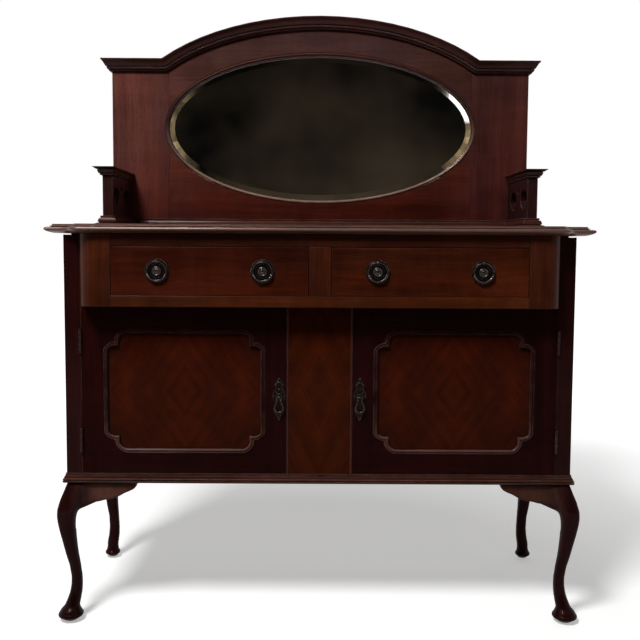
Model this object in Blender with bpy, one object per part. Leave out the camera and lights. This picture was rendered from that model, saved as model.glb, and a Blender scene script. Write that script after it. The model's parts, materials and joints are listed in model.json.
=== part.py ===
# Sideboard with cabriole legs and an arched mirror back. Metres, +Z up, front facing -Y,
# origin on the floor under the middle of the piece.

import math

import bmesh
import bpy
from mathutils import Vector

for old in list(bpy.data.objects):
    bpy.data.objects.remove(old, do_unlink=True)

# Driving sizes of the whole piece
top_width = 1.372
top_depth = 0.520
top_end_overhang = 0.043
section_inset = 0.048
section_projection = 0.055
leg_height = 0.3627
bottom_thickness = 0.023
door_opening_height = 0.431
lower_rail_height = 0.028
drawer_opening_height = 0.121
upper_rail_height = 0.031
top_thickness = 0.0225
board = 0.020
fit = 0.0003
overrun = 0.004
weld = 0.000001

# Heights that follow
case_z = leg_height + fit
bottom_top_z = case_z + bottom_thickness
section_z = bottom_top_z + door_opening_height
drawer_floor_z = section_z + lower_rail_height
drawer_head_z = drawer_floor_z + drawer_opening_height
frame_top_z = drawer_head_z + upper_rail_height
top_under_z = frame_top_z + fit
top_z = top_under_z + top_thickness
gallery_z = top_z + fit

# Depths that follow: the front of the case, of the drawer section and of the top
top_section_overhang = 0.020
front_y = -top_depth / 2
back_y = top_depth / 2
section_y = front_y + top_section_overhang
case_y = section_y + section_projection

# Widths of the front
top_half = top_width / 2
case_half = top_half - top_end_overhang
side_inner = case_half - board
stile_width = 0.039
opening_half = case_half - stile_width
centre_panel_width = 0.163
centre_half = centre_panel_width / 2
section_half = case_half - section_inset
section_corner = 0.038
drawer_end_width = 0.082
drawer_outer = section_half - drawer_end_width
muntin_width = 0.054
drawer_inner = muntin_width / 2
divider_half = 0.009
shadow_gap = 0.004
side_top_z = top_under_z - shadow_gap
back_thickness = 0.009
back_board_y = back_y - back_thickness

colours = {
    "front wood": ((0.060, 0.016, 0.010, 1), 0.35, 0.0),
    "panel wood": ((0.150, 0.050, 0.022, 1), 0.38, 0.0),
    "gallery wood": ((0.130, 0.036, 0.026, 1), 0.38, 0.0),
    "inside wood": ((0.300, 0.170, 0.090, 1), 0.60, 0.0),
    "mirror": ((0.800, 0.820, 0.830, 1), 0.03, 1.0),
    "bronze": ((0.110, 0.090, 0.070, 1), 0.40, 1.0),
    "brass": ((0.450, 0.300, 0.120, 1), 0.35, 1.0),
}


def make_material(name):
    colour, roughness, metallic = colours[name]
    material = bpy.data.materials.new(name)
    material.use_nodes = True
    shader = material.node_tree.nodes["Principled BSDF"]
    shader.inputs["Base Color"].default_value = colour
    shader.inputs["Roughness"].default_value = roughness
    shader.inputs["Metallic"].default_value = metallic
    return material


materials = {name: make_material(name) for name in colours}
front_wood = materials["front wood"]
panel_wood = materials["panel wood"]
gallery_wood = materials["gallery wood"]
inside_wood = materials["inside wood"]
bronze = materials["bronze"]
brass = materials["brass"]


# Helpers: every piece is one closed mesh


def add_object(name, mesh_builder, material, parent=None, smooth=False):
    """An object from a bmesh in world places. With a parent, its origin is the parent's."""
    bmesh.ops.remove_doubles(mesh_builder, verts=mesh_builder.verts, dist=weld)
    bmesh.ops.recalc_face_normals(mesh_builder, faces=mesh_builder.faces)
    if parent:
        bmesh.ops.translate(mesh_builder, verts=mesh_builder.verts, vec=-world_place(parent))
    mesh = bpy.data.meshes.new(name)
    mesh_builder.to_mesh(mesh)
    mesh_builder.free()
    mesh.materials.append(material)
    if smooth:
        mesh.shade_smooth()
        mesh.set_sharp_from_angle(angle=math.radians(35))
    made = bpy.data.objects.new(name, mesh)
    bpy.context.scene.collection.objects.link(made)
    made.parent = parent
    return made


def world_place(empty):
    place = Vector(empty.location)
    while empty.parent:
        empty = empty.parent
        place += empty.location
    return place


def axis_empty(name, place, parent=None):
    made = bpy.data.objects.new(name, None)
    bpy.context.scene.collection.objects.link(made)
    made.parent = parent
    made.location = Vector(place) - (world_place(parent) if parent else Vector())
    return made


def loft(sections, closed=False):
    """Joins like sections by quads. Open lofts get a cap at each end."""
    builder = bmesh.new()
    rows = [[builder.verts.new(point) for point in section] for section in sections]
    count = len(rows[0])
    pairs = list(zip(rows, rows[1:]))
    if closed:
        pairs.append((rows[-1], rows[0]))
    for first, second in pairs:
        for i in range(count):
            j = (i + 1) % count
            builder.faces.new((first[i], first[j], second[j], second[i]))
    if not closed:
        builder.faces.new(rows[0])
        builder.faces.new(rows[-1])
    return builder


def prism(outline, low, high, axis="Z"):
    """An outline extruded along an axis: (x, y) along Z, (x, z) along Y and (y, z) along X."""
    place, along = {
        "Z": (lambda a, b: (a, b, low), Vector((0, 0, 1))),
        "Y": (lambda a, b: (a, low, b), Vector((0, 1, 0))),
        "X": (lambda a, b: (low, a, b), Vector((1, 0, 0))),
    }[axis]
    builder = bmesh.new()
    face = builder.faces.new([builder.verts.new(place(a, b)) for a, b in outline])
    made = bmesh.ops.extrude_face_region(builder, geom=[face], use_keep_orig=True)["geom"]
    moved = [item for item in made if isinstance(item, bmesh.types.BMVert)]
    bmesh.ops.translate(builder, verts=moved, vec=along * (high - low))
    return builder


def box(low, high):
    low, high = Vector(low), Vector(high)
    builder = bmesh.new()
    bmesh.ops.create_cube(builder, size=1)
    bmesh.ops.scale(builder, verts=builder.verts, vec=high - low)
    bmesh.ops.translate(builder, verts=builder.verts, vec=(low + high) / 2)
    return builder


def arc(centre, radius, start, end, steps):
    """Points of an arc in degrees, both ends included."""
    angles = [math.radians(start + (end - start) * i / steps) for i in range(steps + 1)]
    return [(centre[0] + radius * math.cos(a), centre[1] + radius * math.sin(a)) for a in angles]


def mirrored(half):
    """A plan outline from its right half, which runs from the front to the back."""
    return half + [(-x, y) for x, y in reversed(half)]


def combine(target, helper, operation):
    """A Boolean with a hidden helper, which keeps its own object."""
    helper.hide_render = True
    helper.display_type = "WIRE"
    modifier = target.modifiers.new(helper.name, "BOOLEAN")
    modifier.operation = operation
    modifier.object = helper
    modifier.solver = "EXACT"


def cut(target, name, mesh_builder):
    helper = add_object(name, mesh_builder, target.data.materials[0], target.parent)
    combine(target, helper, "DIFFERENCE")


def join(target, name, mesh_builder):
    helper = add_object(name, mesh_builder, target.data.materials[0], target.parent)
    combine(target, helper, "UNION")


def tube(path, radii, sides, level):
    """A closed loop of wire in the XZ plane at y = level, from its (x, z) points and radii."""
    sections = []
    for i, (x, z) in enumerate(path):
        ahead = path[(i + 1) % len(path)]
        behind = path[i - 1]
        along = Vector((ahead[0] - behind[0], ahead[1] - behind[1])).normalized()
        across = (along.y, -along.x)
        ring = []
        for k in range(sides):
            turn = math.tau * k / sides
            out, deep = radii[i] * math.cos(turn), radii[i] * math.sin(turn)
            ring.append((x + across[0] * out, level + deep, z + across[1] * out))
        sections.append(ring)
    return loft(sections, closed=True)


# Case

stile_back_y = case_y + board
opening_depth_y = stile_back_y + fit


def build_side(name, side):
    outline = [
        (opening_half, case_y),
        (case_half, case_y),
        (case_half, back_y),
        (side_inner, back_y),
        (side_inner, stile_back_y),
        (opening_half, stile_back_y),
    ]
    plan = [(side * x, y) for x, y in outline]
    made = add_object(name, prism(plan, case_z, side_top_z), front_wood)
    inner, outer = sorted((side * opening_half, side * side_inner))
    stile_top = box((inner, case_y, section_z), (outer, stile_back_y, frame_top_z))
    join(made, name + "_stile_top", stile_top)
    return made


side_boards = {-1: build_side("side_left", -1), 1: build_side("side_right", 1)}


def build_bottom():
    half = [
        (opening_half - fit, case_y),
        (opening_half - fit, opening_depth_y),
        (side_inner - fit, opening_depth_y),
        (side_inner - fit, back_board_y - fit),
    ]
    add_object("bottom_board", prism(mirrored(half), case_z, bottom_top_z), inside_wood)


build_bottom()

back_half = side_inner - fit
add_object(
    "back_board",
    box((-back_half, back_board_y, case_z), (back_half, back_y, frame_top_z)),
    inside_wood,
)

door_stop_lap = 0.012
door_stop_thickness = 0.008
stop_back_y = opening_depth_y + door_stop_thickness


def build_centre():
    """The fixed panel between the doors, with a wider back that stops them."""
    half = [
        (centre_half, case_y),
        (centre_half, opening_depth_y),
        (centre_half + door_stop_lap, opening_depth_y),
        (centre_half + door_stop_lap, stop_back_y),
    ]
    panel = mirrored(half)
    low, high = bottom_top_z + fit, section_z - fit
    add_object("centre_panel", prism(panel, low, high), panel_wood)
    partition = box(
        (-divider_half, stop_back_y + fit, low),
        (divider_half, back_board_y - fit, high),
    )
    add_object("centre_partition", partition, inside_wood)


build_centre()

guide_width = 0.018
guide_height = 0.030
guide_clearance = 0.001
corner_steps = 6
section_back_y = section_y + board + fit


def build_dust_board():
    """The board under the drawers, with a strip at each side that guides a drawer."""
    corner = (section_half - section_corner, section_y + section_corner)
    half = arc(corner, section_corner - board - fit, -90, 0, corner_steps)
    half += [
        (section_half - board - fit, opening_depth_y),
        (side_inner - fit, opening_depth_y),
        (side_inner - fit, back_board_y - fit),
    ]
    low, high = section_z + fit, drawer_floor_z - fit
    dust = add_object("dust_board", prism(mirrored(half), low, high), inside_wood)
    for side, label in ((-1, "left"), (1, "right")):
        inner = side * (drawer_outer + guide_clearance)
        outer = inner + side * guide_width
        strip = box(
            (min(inner, outer), section_back_y, (low + high) / 2),
            (max(inner, outer), back_board_y - fit, high + guide_height),
        )
        join(dust, "guide_strip_" + label, strip)


build_dust_board()

rail_half = drawer_outer - fit
add_object(
    "drawer_bottom_rail",
    box((-rail_half, section_y, section_z), (rail_half, section_y + board, drawer_floor_z)),
    front_wood,
)
add_object(
    "drawer_top_rail",
    box((-rail_half, section_y, drawer_head_z), (rail_half, section_y + board, frame_top_z)),
    front_wood,
)


def build_divider():
    """The upright between the drawers, with the board behind it that parts them."""
    low = drawer_floor_z + fit
    board_behind = box(
        (-divider_half, section_back_y, low), (divider_half, back_board_y - fit, frame_top_z)
    )
    divider = add_object("drawer_divider", board_behind, front_wood)
    upright = box(
        (-drawer_inner, section_y, low),
        (drawer_inner, section_back_y + overrun, drawer_head_z - fit),
    )
    join(divider, "drawer_muntin", upright)


build_divider()


def build_drawer_end(name, side):
    """A rounded end of the drawer section, with a flange that meets the stile."""
    corner = (section_half - section_corner, section_y + section_corner)
    outline = [(drawer_outer, section_y)]
    outline += arc(corner, section_corner, -90, 0, corner_steps)
    outline += [
        (section_half, case_y),
        (opening_half - fit, case_y),
        (opening_half - fit, stile_back_y),
        (section_half - board, stile_back_y),
    ]
    outline += arc(corner, section_corner - board, 0, -90, corner_steps)
    outline.append((drawer_outer, section_y + board))
    plan = [(side * x, y) for x, y in outline]
    add_object(name, prism(plan, section_z, frame_top_z), front_wood, smooth=True)


build_drawer_end("drawer_end_left", -1)
build_drawer_end("drawer_end_right", 1)

# Top board: the same moulded edge runs round the front and both ends

top_nose = 0.0165
top_corner_inset = 0.007
top_straight_half = section_half - top_corner_inset
top_curve_out = 0.030
top_curve_in = section_projection - top_curve_out
top_edge_shares = (
    (-1.20, 0.00),
    (-0.70, 0.10),
    (-0.30, 0.22),
    (-0.06, 0.35),
    (0.00, 0.47),
    (-0.08, 0.59),
    (-0.36, 0.66),
    (-0.44, 0.71),
    (-0.72, 0.80),
    (-1.00, 0.86),
    (-1.00, 1.00),
)
top_curve_steps = 5


def top_outline(out, level):
    turn_y = front_y + top_curve_out
    first = (top_straight_half, turn_y)
    second = (top_straight_half + top_curve_out + top_curve_in, turn_y)
    half = arc(first, top_curve_out + out, -90, 0, top_curve_steps)
    half += arc(second, top_curve_in - out, 180, 90, top_curve_steps)
    half += [(top_half + out, turn_y + top_curve_in - out), (top_half + out, back_y)]
    return [(x, y, level) for x, y in mirrored(half)]


add_object(
    "top_board",
    loft([
        top_outline(out * top_nose, top_under_z + up * top_thickness)
        for out, up in top_edge_shares
    ]),
    front_wood,
    smooth=True,
)

# Base moulding: mitred round the front and both ends of the case

base_overhang = 0.009
base_lap = 0.0013
base_moulding_height = bottom_thickness + base_lap
base_shares = (
    (0.00, 0.00),
    (0.75, 0.00),
    (1.00, 0.12),
    (1.00, 0.32),
    (0.92, 0.42),
    (0.72, 0.45),
    (0.66, 0.55),
    (0.40, 0.78),
    (0.26, 0.88),
    (0.22, 1.00),
    (0.00, 1.00),
)


def base_section(place):
    """The profile at one place, which turns an overhang into a plan point."""
    return [
        (*place(fit + out * base_overhang), case_z + up * base_moulding_height)
        for out, up in base_shares
    ]


add_object(
    "base_moulding",
    loft([
        base_section(lambda out: (-case_half - out, back_y)),
        base_section(lambda out: (-case_half - out, case_y - out)),
        base_section(lambda out: (case_half + out, case_y - out)),
        base_section(lambda out: (case_half + out, back_y)),
    ]),
    front_wood,
)

# Legs: a square block at the top sweeps out to the knee, in to the ankle and out to a pad foot

leg_block = 0.047
leg_sweep = 0.0257
leg_sides = 16
rear_leg_setback = 0.0015
# height, sweep and half width as shares of the leg's height, sweep and half its block,
# and how square the section is
front_leg_shares = (
    (0.000, 0.77, 0.43, 2.0),
    (0.006, 0.77, 0.64, 2.0),
    (0.014, 0.77, 0.86, 2.0),
    (0.030, 0.77, 1.10, 2.0),
    (0.052, 0.77, 1.20, 2.0),
    (0.072, 0.77, 1.17, 2.0),
    (0.088, 0.75, 0.99, 2.1),
    (0.104, 0.67, 0.83, 2.1),
    (0.145, 0.50, 0.75, 2.2),
    (0.195, 0.34, 0.67, 2.3),
    (0.250, 0.26, 0.62, 2.4),
    (0.310, 0.26, 0.59, 2.5),
    (0.394, 0.39, 0.60, 2.7),
    (0.477, 0.59, 0.66, 2.9),
    (0.568, 0.76, 0.73, 3.2),
    (0.640, 0.88, 0.81, 3.5),
    (0.703, 0.96, 0.88, 3.8),
    (0.758, 0.97, 0.97, 4.2),
    (0.813, 0.88, 1.04, 5.0),
    (0.882, 0.60, 1.06, 6.0),
    (0.937, 0.33, 1.02, 8.0),
    (1.000, 0.03, 1.00, 12.0),
)
rear_leg_shares = (
    (0.000, 0.72, 0.36, 2.0),
    (0.010, 0.72, 0.58, 2.0),
    (0.030, 0.72, 0.76, 2.0),
    (0.060, 0.71, 0.80, 2.0),
    (0.080, 0.71, 0.75, 2.1),
    (0.095, 0.71, 0.69, 2.3),
    (0.132, 0.68, 0.72, 2.5),
    (0.193, 0.54, 0.68, 2.8),
    (0.262, 0.49, 0.63, 3.0),
    (0.361, 0.55, 0.62, 3.2),
    (0.452, 0.69, 0.70, 3.5),
    (0.550, 0.80, 0.77, 3.8),
    (0.640, 0.88, 0.85, 4.0),
    (0.703, 0.92, 0.93, 4.2),
    (0.758, 0.94, 1.00, 4.6),
    (0.813, 0.86, 1.04, 5.5),
    (0.882, 0.60, 1.05, 6.5),
    (0.937, 0.33, 1.02, 8.0),
    (1.000, 0.03, 1.00, 12.0),
)
ear_length = 0.1764
ear_drop = 0.0717
ear_thickness = 0.026
ear_setback = 0.0015
# how far from the corner of the case and how far down, as shares
ear_shares = (
    (0.10, 0.00),
    (1.000, 0.00),
    (1.000, 0.10),
    (0.985, 0.20),
    (0.950, 0.28),
    (0.895, 0.345),
    (0.820, 0.42),
    (0.743, 0.53),
    (0.669, 0.616),
    (0.539, 0.665),
    (0.425, 0.742),
    (0.312, 0.874),
    (0.198, 1.00),
    (0.10, 1.05),
)


def superellipse(radius, squareness):
    """Points of a rounded square, with corners on the diagonals."""
    points = []
    for i in range(leg_sides):
        turn = math.tau * i / leg_sides
        c, s = math.cos(turn), math.sin(turn)
        x = math.copysign(abs(c) ** (2 / squareness), c)
        y = math.copysign(abs(s) ** (2 / squareness), s)
        points.append((radius * x, radius * y))
    return points


def build_leg(name, side, end):
    """A leg under the corner of the case at side (-1 left) and end (-1 front)."""
    corner_y = case_y if end < 0 else back_y
    sections = []
    for height, sweep, width, squareness in front_leg_shares if end < 0 else rear_leg_shares:
        x = side * (case_half - leg_block / 2 + sweep * leg_sweep)
        if end < 0:
            y = case_y + leg_block / 2 - sweep * leg_sweep
        else:
            y = back_y - rear_leg_setback - width * leg_block / 2
        ring = superellipse(width * leg_block / 2, squareness)
        sections.append([(x + dx, y + dy, height * leg_height) for dx, dy in ring])
    leg = add_object(name, loft(sections), front_wood, smooth=True)
    side_ear = [
        (corner_y - end * along * ear_length, leg_height - down * ear_drop)
        for along, down in ear_shares
    ]
    outer = side * (case_half - ear_setback)
    inner = outer - side * ear_thickness
    join(leg, name + "_side_ear", prism(side_ear, inner, outer, "X"))
    if end < 0:
        front_ear = [
            (side * (case_half - along * ear_length), leg_height - down * ear_drop)
            for along, down in ear_shares
        ]
        near = case_y + ear_setback
        join(leg, name + "_front_ear", prism(front_ear, near, near + ear_thickness, "Y"))


for leg_name, leg_side, leg_end in (
    ("leg_front_left", -1, -1),
    ("leg_front_right", 1, -1),
    ("leg_rear_left", -1, 1),
    ("leg_rear_right", 1, 1),
):
    build_leg(leg_name, leg_side, leg_end)

# Gallery: two stiles and two rails round an oval opening, under an arched top

gallery_inset = 0.0695
gallery_half = top_half - gallery_inset
gallery_thickness = 0.025
gallery_back_inset = 0.020
gallery_back_y = back_y - gallery_back_inset
gallery_face_y = gallery_back_y - gallery_thickness
oval_side_margin = 0.1547
oval_half_width = gallery_half - oval_side_margin
oval_half_height = 0.2225
oval_foot_margin = 0.0733
oval_crest_margin = 0.0987
oval_z = top_z + oval_foot_margin + oval_half_height
arch_rise = 0.1242
arch_end_margin = 0.0165
arch_half_width = gallery_half - arch_end_margin
arch_half_height = 0.338
arch_centre_z = oval_z + oval_half_height + oval_crest_margin - arch_half_height
shoulder_z = arch_centre_z + arch_half_height - arch_rise
stile_notch = 0.0128
gallery_stile_x = oval_half_width - stile_notch
arch_steps = 20
oval_steps = 64


def arch_point(turn, down):
    """A point of the arch at an angle from the crown, down along its normal."""
    x, z = arch_half_width * math.sin(turn), arch_half_height * math.cos(turn)
    normal = Vector((arch_half_height * math.sin(turn), arch_half_width * math.cos(turn)))
    normal.normalize()
    return x - normal.x * down, arch_centre_z + z - normal.y * down


def arch_turn(reached, low=0.0, high=math.pi / 2):
    """The angle where a falling measure of the arch has just passed below zero."""
    for _ in range(50):
        middle = (low + high) / 2
        if reached(middle) > 0:
            low = middle
        else:
            high = middle
    return low


def shoulder_turn(down):
    """Where the arch, offset down, meets the level shoulder, offset down as much."""
    return arch_turn(lambda turn: arch_point(turn, down)[1] - (shoulder_z - down))


def crest_run(first, last, steps):
    """Points of the arch between two angles, nowhere lower than the shoulders."""
    turns = [first + (last - first) * i / steps for i in range(steps + 1)]
    return [(x, max(z, shoulder_z)) for x, z in (arch_point(turn, 0) for turn in turns)]


def oval_point(degrees, shrink=0.0):
    turn = math.radians(degrees)
    x = (oval_half_width - shrink) * math.cos(turn)
    return x, oval_z + (oval_half_height - shrink) * math.sin(turn)


def oval_run(start, end):
    """Points of the oval from start up to end in degrees, at the same places for every piece."""
    step = 360 / oval_steps
    first = math.floor(start / step + 1)
    last = math.ceil(end / step - 1)
    turns = [start] + [step * i for i in range(first, last + 1)] + [end]
    return [oval_point(turn) for turn in turns]


def oval_angle(x):
    return math.degrees(math.acos(x / oval_half_width))


def build_gallery():
    rail_x = gallery_stile_x - fit
    stile_turn = arch_turn(lambda turn: gallery_stile_x - arch_point(turn, 0)[0])
    rail_turn = arch_turn(lambda turn: rail_x - arch_point(turn, 0)[0])
    notch = oval_angle(gallery_stile_x)
    rail_notch = oval_angle(rail_x)
    stile = [(gallery_stile_x, gallery_z), (gallery_half, gallery_z), (gallery_half, shoulder_z)]
    stile += crest_run(max(shoulder_turn(0), stile_turn), stile_turn, 1)
    stile += reversed(oval_run(-notch, notch))
    for side, label in ((-1, "left"), (1, "right")):
        outline = [(side * x, z) for x, z in stile]
        piece = prism(outline, gallery_face_y, gallery_back_y, "Y")
        add_object("gallery_stile_" + label, piece, gallery_wood)
    top_rail = crest_run(-rail_turn, rail_turn, arch_steps)
    top_rail += oval_run(rail_notch, 180 - rail_notch)
    piece = prism(top_rail, gallery_face_y, gallery_back_y, "Y")
    add_object("gallery_top_rail", piece, gallery_wood, smooth=True)
    bottom_rail = [(-rail_x, gallery_z), (rail_x, gallery_z)]
    bottom_rail += reversed(oval_run(180 + rail_notch, 360 - rail_notch))
    piece = prism(bottom_rail, gallery_face_y, gallery_back_y, "Y")
    add_object("gallery_bottom_rail", piece, gallery_wood)


build_gallery()

# Mirror: a bead in front of a bevelled oval glass, and a board behind it

bead_width = 0.0095
bead_depth = 0.0095
bead_stand = 0.0035
glass_thickness = 0.005
glass_bevel_width = 0.018
glass_bevel_depth = 0.002
glass_y = gallery_face_y + bead_depth + fit
glass_back_y = glass_y + glass_thickness
# across the width, and back from the face as a share of the depth or, below zero, of the stand
bead_shares = (
    (0.00, 1.00),
    (0.00, 0.10),
    (0.18, -0.60),
    (0.42, -1.00),
    (0.68, -0.78),
    (1.00, 0.15),
    (1.00, 1.00),
)


def oval_ring(level, shrink):
    turns = [360 * i / oval_steps for i in range(oval_steps)]
    return [(x, level, z) for x, z in (oval_point(turn, shrink) for turn in turns)]


def build_bead():
    sections = []
    for across, along in bead_shares:
        reach = bead_stand if along < 0 else bead_depth
        sections.append(oval_ring(gallery_face_y + along * reach, fit + across * bead_width))
    add_object("mirror_bead", loft(sections, closed=True), gallery_wood, smooth=True)


build_bead()
add_object(
    "mirror_glass",
    loft([
        oval_ring(glass_y, bead_width + glass_bevel_width),
        oval_ring(glass_y + glass_bevel_depth, fit),
        oval_ring(glass_back_y, fit),
    ]),
    materials["mirror"],
)
add_object(
    "mirror_backboard",
    loft([oval_ring(glass_back_y + fit, fit), oval_ring(gallery_back_y, fit)]),
    inside_wood,
)

# Cornice: level shoulders, an arch between them and a return at each end

cornice_overhang = 0.028
cornice_height = 0.0356
cornice_shares = (
    (0.00, 0.00),
    (1.00, 0.00),
    (0.97, 0.10),
    (0.82, 0.22),
    (0.68, 0.40),
    (0.57, 0.56),
    (0.50, 0.65),
    (0.46, 0.68),
    (0.42, 0.78),
    (0.29, 0.82),
    (0.26, 0.92),
    (0.10, 0.98),
    (0.00, 1.00),
)


def cornice_section(place):
    return [place(fit + out * cornice_overhang, down * cornice_height) for out, down in cornice_shares]


def cornice_end(side, back):
    def place(out, down):
        level = gallery_back_y if back else gallery_face_y - out
        return side * (gallery_half + out), level, shoulder_z - down

    return cornice_section(place)


def cornice_arch(share):
    def place(out, down):
        x, z = arch_point(share * shoulder_turn(down), down)
        return x, gallery_face_y - out, z

    return cornice_section(place)


def build_cornice():
    sections = [cornice_end(-1, True), cornice_end(-1, False)]
    sections += [cornice_arch(2 * i / arch_steps - 1) for i in range(arch_steps + 1)]
    sections += [cornice_end(1, False), cornice_end(1, True)]
    add_object("cornice", loft(sections), gallery_wood, smooth=True)


build_cornice()

# Brackets: pierced boards on the top, each with a moulded shelf and a stepped foot

bracket_inset = 0.0272
bracket_thickness = 0.027
bracket_outer = gallery_half - bracket_inset
bracket_inner = bracket_outer - bracket_thickness
bracket_depth = 0.2257
bracket_height = 0.1337
bracket_rear_y = gallery_face_y - fit
bracket_y = bracket_rear_y - bracket_depth
cap_overhang = 0.0218
cap_inner_overhang = 0.010
cap_height = 0.0243
cap_shares = (
    (0.00, 0.00),
    (0.06, 0.05),
    (0.27, 0.13),
    (0.30, 0.22),
    (0.42, 0.34),
    (0.50, 0.55),
    (0.54, 0.70),
    (0.60, 0.72),
    (0.84, 0.86),
    (1.00, 0.95),
    (1.00, 1.00),
)
leaf_front_margin = 0.0089
leaf_rear_margin = 0.0328
leaf_gap = 0.044
leaf_foot_margin = 0.0517
leaf_head_margin = 0.026
leaf_width = (bracket_depth - leaf_front_margin - leaf_rear_margin - leaf_gap) / 2
leaf_height = bracket_height - leaf_foot_margin - leaf_head_margin
leaf_step = (leaf_width + leaf_gap) / 2
spot_radius = 0.009
spot_drop = 0.0292
# half of a leaf, from its foot to its tip: across as shares of half its width
leaf_shares = (
    (0.0, 0.0),
    (0.45, 0.12),
    (0.82, 0.28),
    (1.0, 0.46),
    (0.90, 0.68),
    (0.66, 0.86),
    (0.35, 0.96),
)
spot_steps = 12


def leaf_outline(middle_y):
    half = [(across * leaf_width / 2, up * leaf_height) for across, up in leaf_shares]
    low = top_z + leaf_foot_margin
    right = [(middle_y + across, low + up) for across, up in half]
    left = [(middle_y - across, low + up) for across, up in reversed(half[1:])]
    return right + [(middle_y, low + leaf_height)] + left


def build_bracket(side, label):
    inner, outer = side * bracket_inner, side * bracket_outer
    low, high = top_z + fit, top_z + bracket_height
    side_view = [
        (bracket_y, low),
        (bracket_rear_y, low),
        (bracket_rear_y, high),
        (bracket_y, high),
    ]
    wall = add_object("bracket_" + label, prism(side_view, inner, outer, "X"), gallery_wood)
    near, far = inner - side * overrun, outer + side * overrun
    middle_y = bracket_y + leaf_front_margin + leaf_width + leaf_gap / 2
    spot = arc((middle_y, high - spot_drop), spot_radius, 0, 360, spot_steps)[:-1]
    cut(wall, "spot_" + label, prism(spot, near, far, "X"))
    for step, end in ((-1, "front"), (1, "rear")):
        leaf = leaf_outline(middle_y + step * leaf_step)
        cut(wall, "leaf_" + end + "_" + label, prism(leaf, near, far, "X"))
    sections = []
    for out, up in cap_shares:
        reach, inner_reach = out * cap_overhang, out * cap_inner_overhang
        level = high + fit + up * cap_height
        sections.append([
            (side * (bracket_inner - inner_reach), bracket_y - reach, level),
            (side * (bracket_outer + reach), bracket_y - reach, level),
            (side * (bracket_outer + reach), bracket_rear_y, level),
            (side * (bracket_inner - inner_reach), bracket_rear_y, level),
        ])
    add_object("bracket_cap_" + label, loft(sections), gallery_wood)


build_bracket(-1, "left")
build_bracket(1, "right")

# Stepped moulding along the foot of the gallery and round both brackets

plinth_overhang = 0.023
plinth_height = 0.0268
plinth_shares = (
    (0.00, 0.00),
    (1.00, 0.00),
    (1.00, 0.09),
    (0.76, 0.20),
    (0.50, 0.30),
    (0.47, 0.50),
    (0.41, 0.66),
    (0.34, 0.77),
    (0.25, 0.81),
    (0.23, 1.00),
    (0.00, 1.00),
)


def build_plinth():
    wall_y = bracket_rear_y

    def half_places(out):
        """Plan points from the gallery round one bracket and back to the gallery."""
        return [
            (bracket_inner - out, wall_y - out),
            (bracket_inner - out, bracket_y - out),
            (bracket_outer + out, bracket_y - out),
            (bracket_outer + out, wall_y),
        ]

    profile = [
        (fit + out * plinth_overhang, top_z + fit + up * plinth_height)
        for out, up in plinth_shares
    ]
    corners = len(half_places(fit))
    sections = []
    for side, order in ((-1, range(corners - 1, -1, -1)), (1, range(corners))):
        for corner in order:
            section = []
            for out, level in profile:
                x, y = half_places(out)[corner]
                section.append((side * x, y, level))
            sections.append(section)
    add_object("plinth_moulding", loft(sections), gallery_wood)


build_plinth()

# Drawers: a front with two ring pulls, and a box that runs on the dust board

drawer_gap = 0.0012
drawer_rear_gap = 0.070
drawer_side_drop = 0.023
drawer_wall = 0.011
drawer_bottom = 0.007
pull_spread = 0.258
plate_radius = 0.030
plate_thickness = 0.003
plate_boss_radius = 0.011
plate_boss_height = 0.0085
ring_margin = 0.0065
ring_radius = plate_radius - ring_margin
ring_top_wire = 0.0020
ring_low_wire = 0.0032
ring_bead_wire = 0.0044
ring_clearance = 0.00065
plate_floor_share = 0.45
ring_level = plate_floor_share * plate_thickness + ring_clearance + ring_bead_wire
pull_play = 0.0007
lug_width = 0.0055
lug_wall = 0.0016
lug_radius = ring_top_wire + pull_play + lug_wall
lug_steps = 10
plate_steps = 20
ring_steps = 24
wire_sides = 6
# radius as a share of the plate's, height as a share of its thickness
rim_shares = (
    (1.0, 0.0),
    (1.0, 0.6),
    (0.965, 1.0),
    (0.935, 0.95),
    (0.90, plate_floor_share),
    (0.64, 0.42),
)
# radius as a share of the boss's, height as a share of the boss's
boss_shares = ((1.05, 0.17), (1.0, 0.45), (0.80, 0.75), (0.45, 0.93), (0.12, 1.0))
bead_turns = (120, 240)


def turned(profile, centre_x, centre_z, face_y, steps):
    """A turned shape that stands out from a face, from its (radius, height) profile."""
    sections = []
    for radius, height in profile:
        points = arc((centre_x, centre_z), radius, 0, 360, steps)[:-1]
        sections.append([(x, face_y - height, z) for x, z in points])
    return loft(sections)


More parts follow.
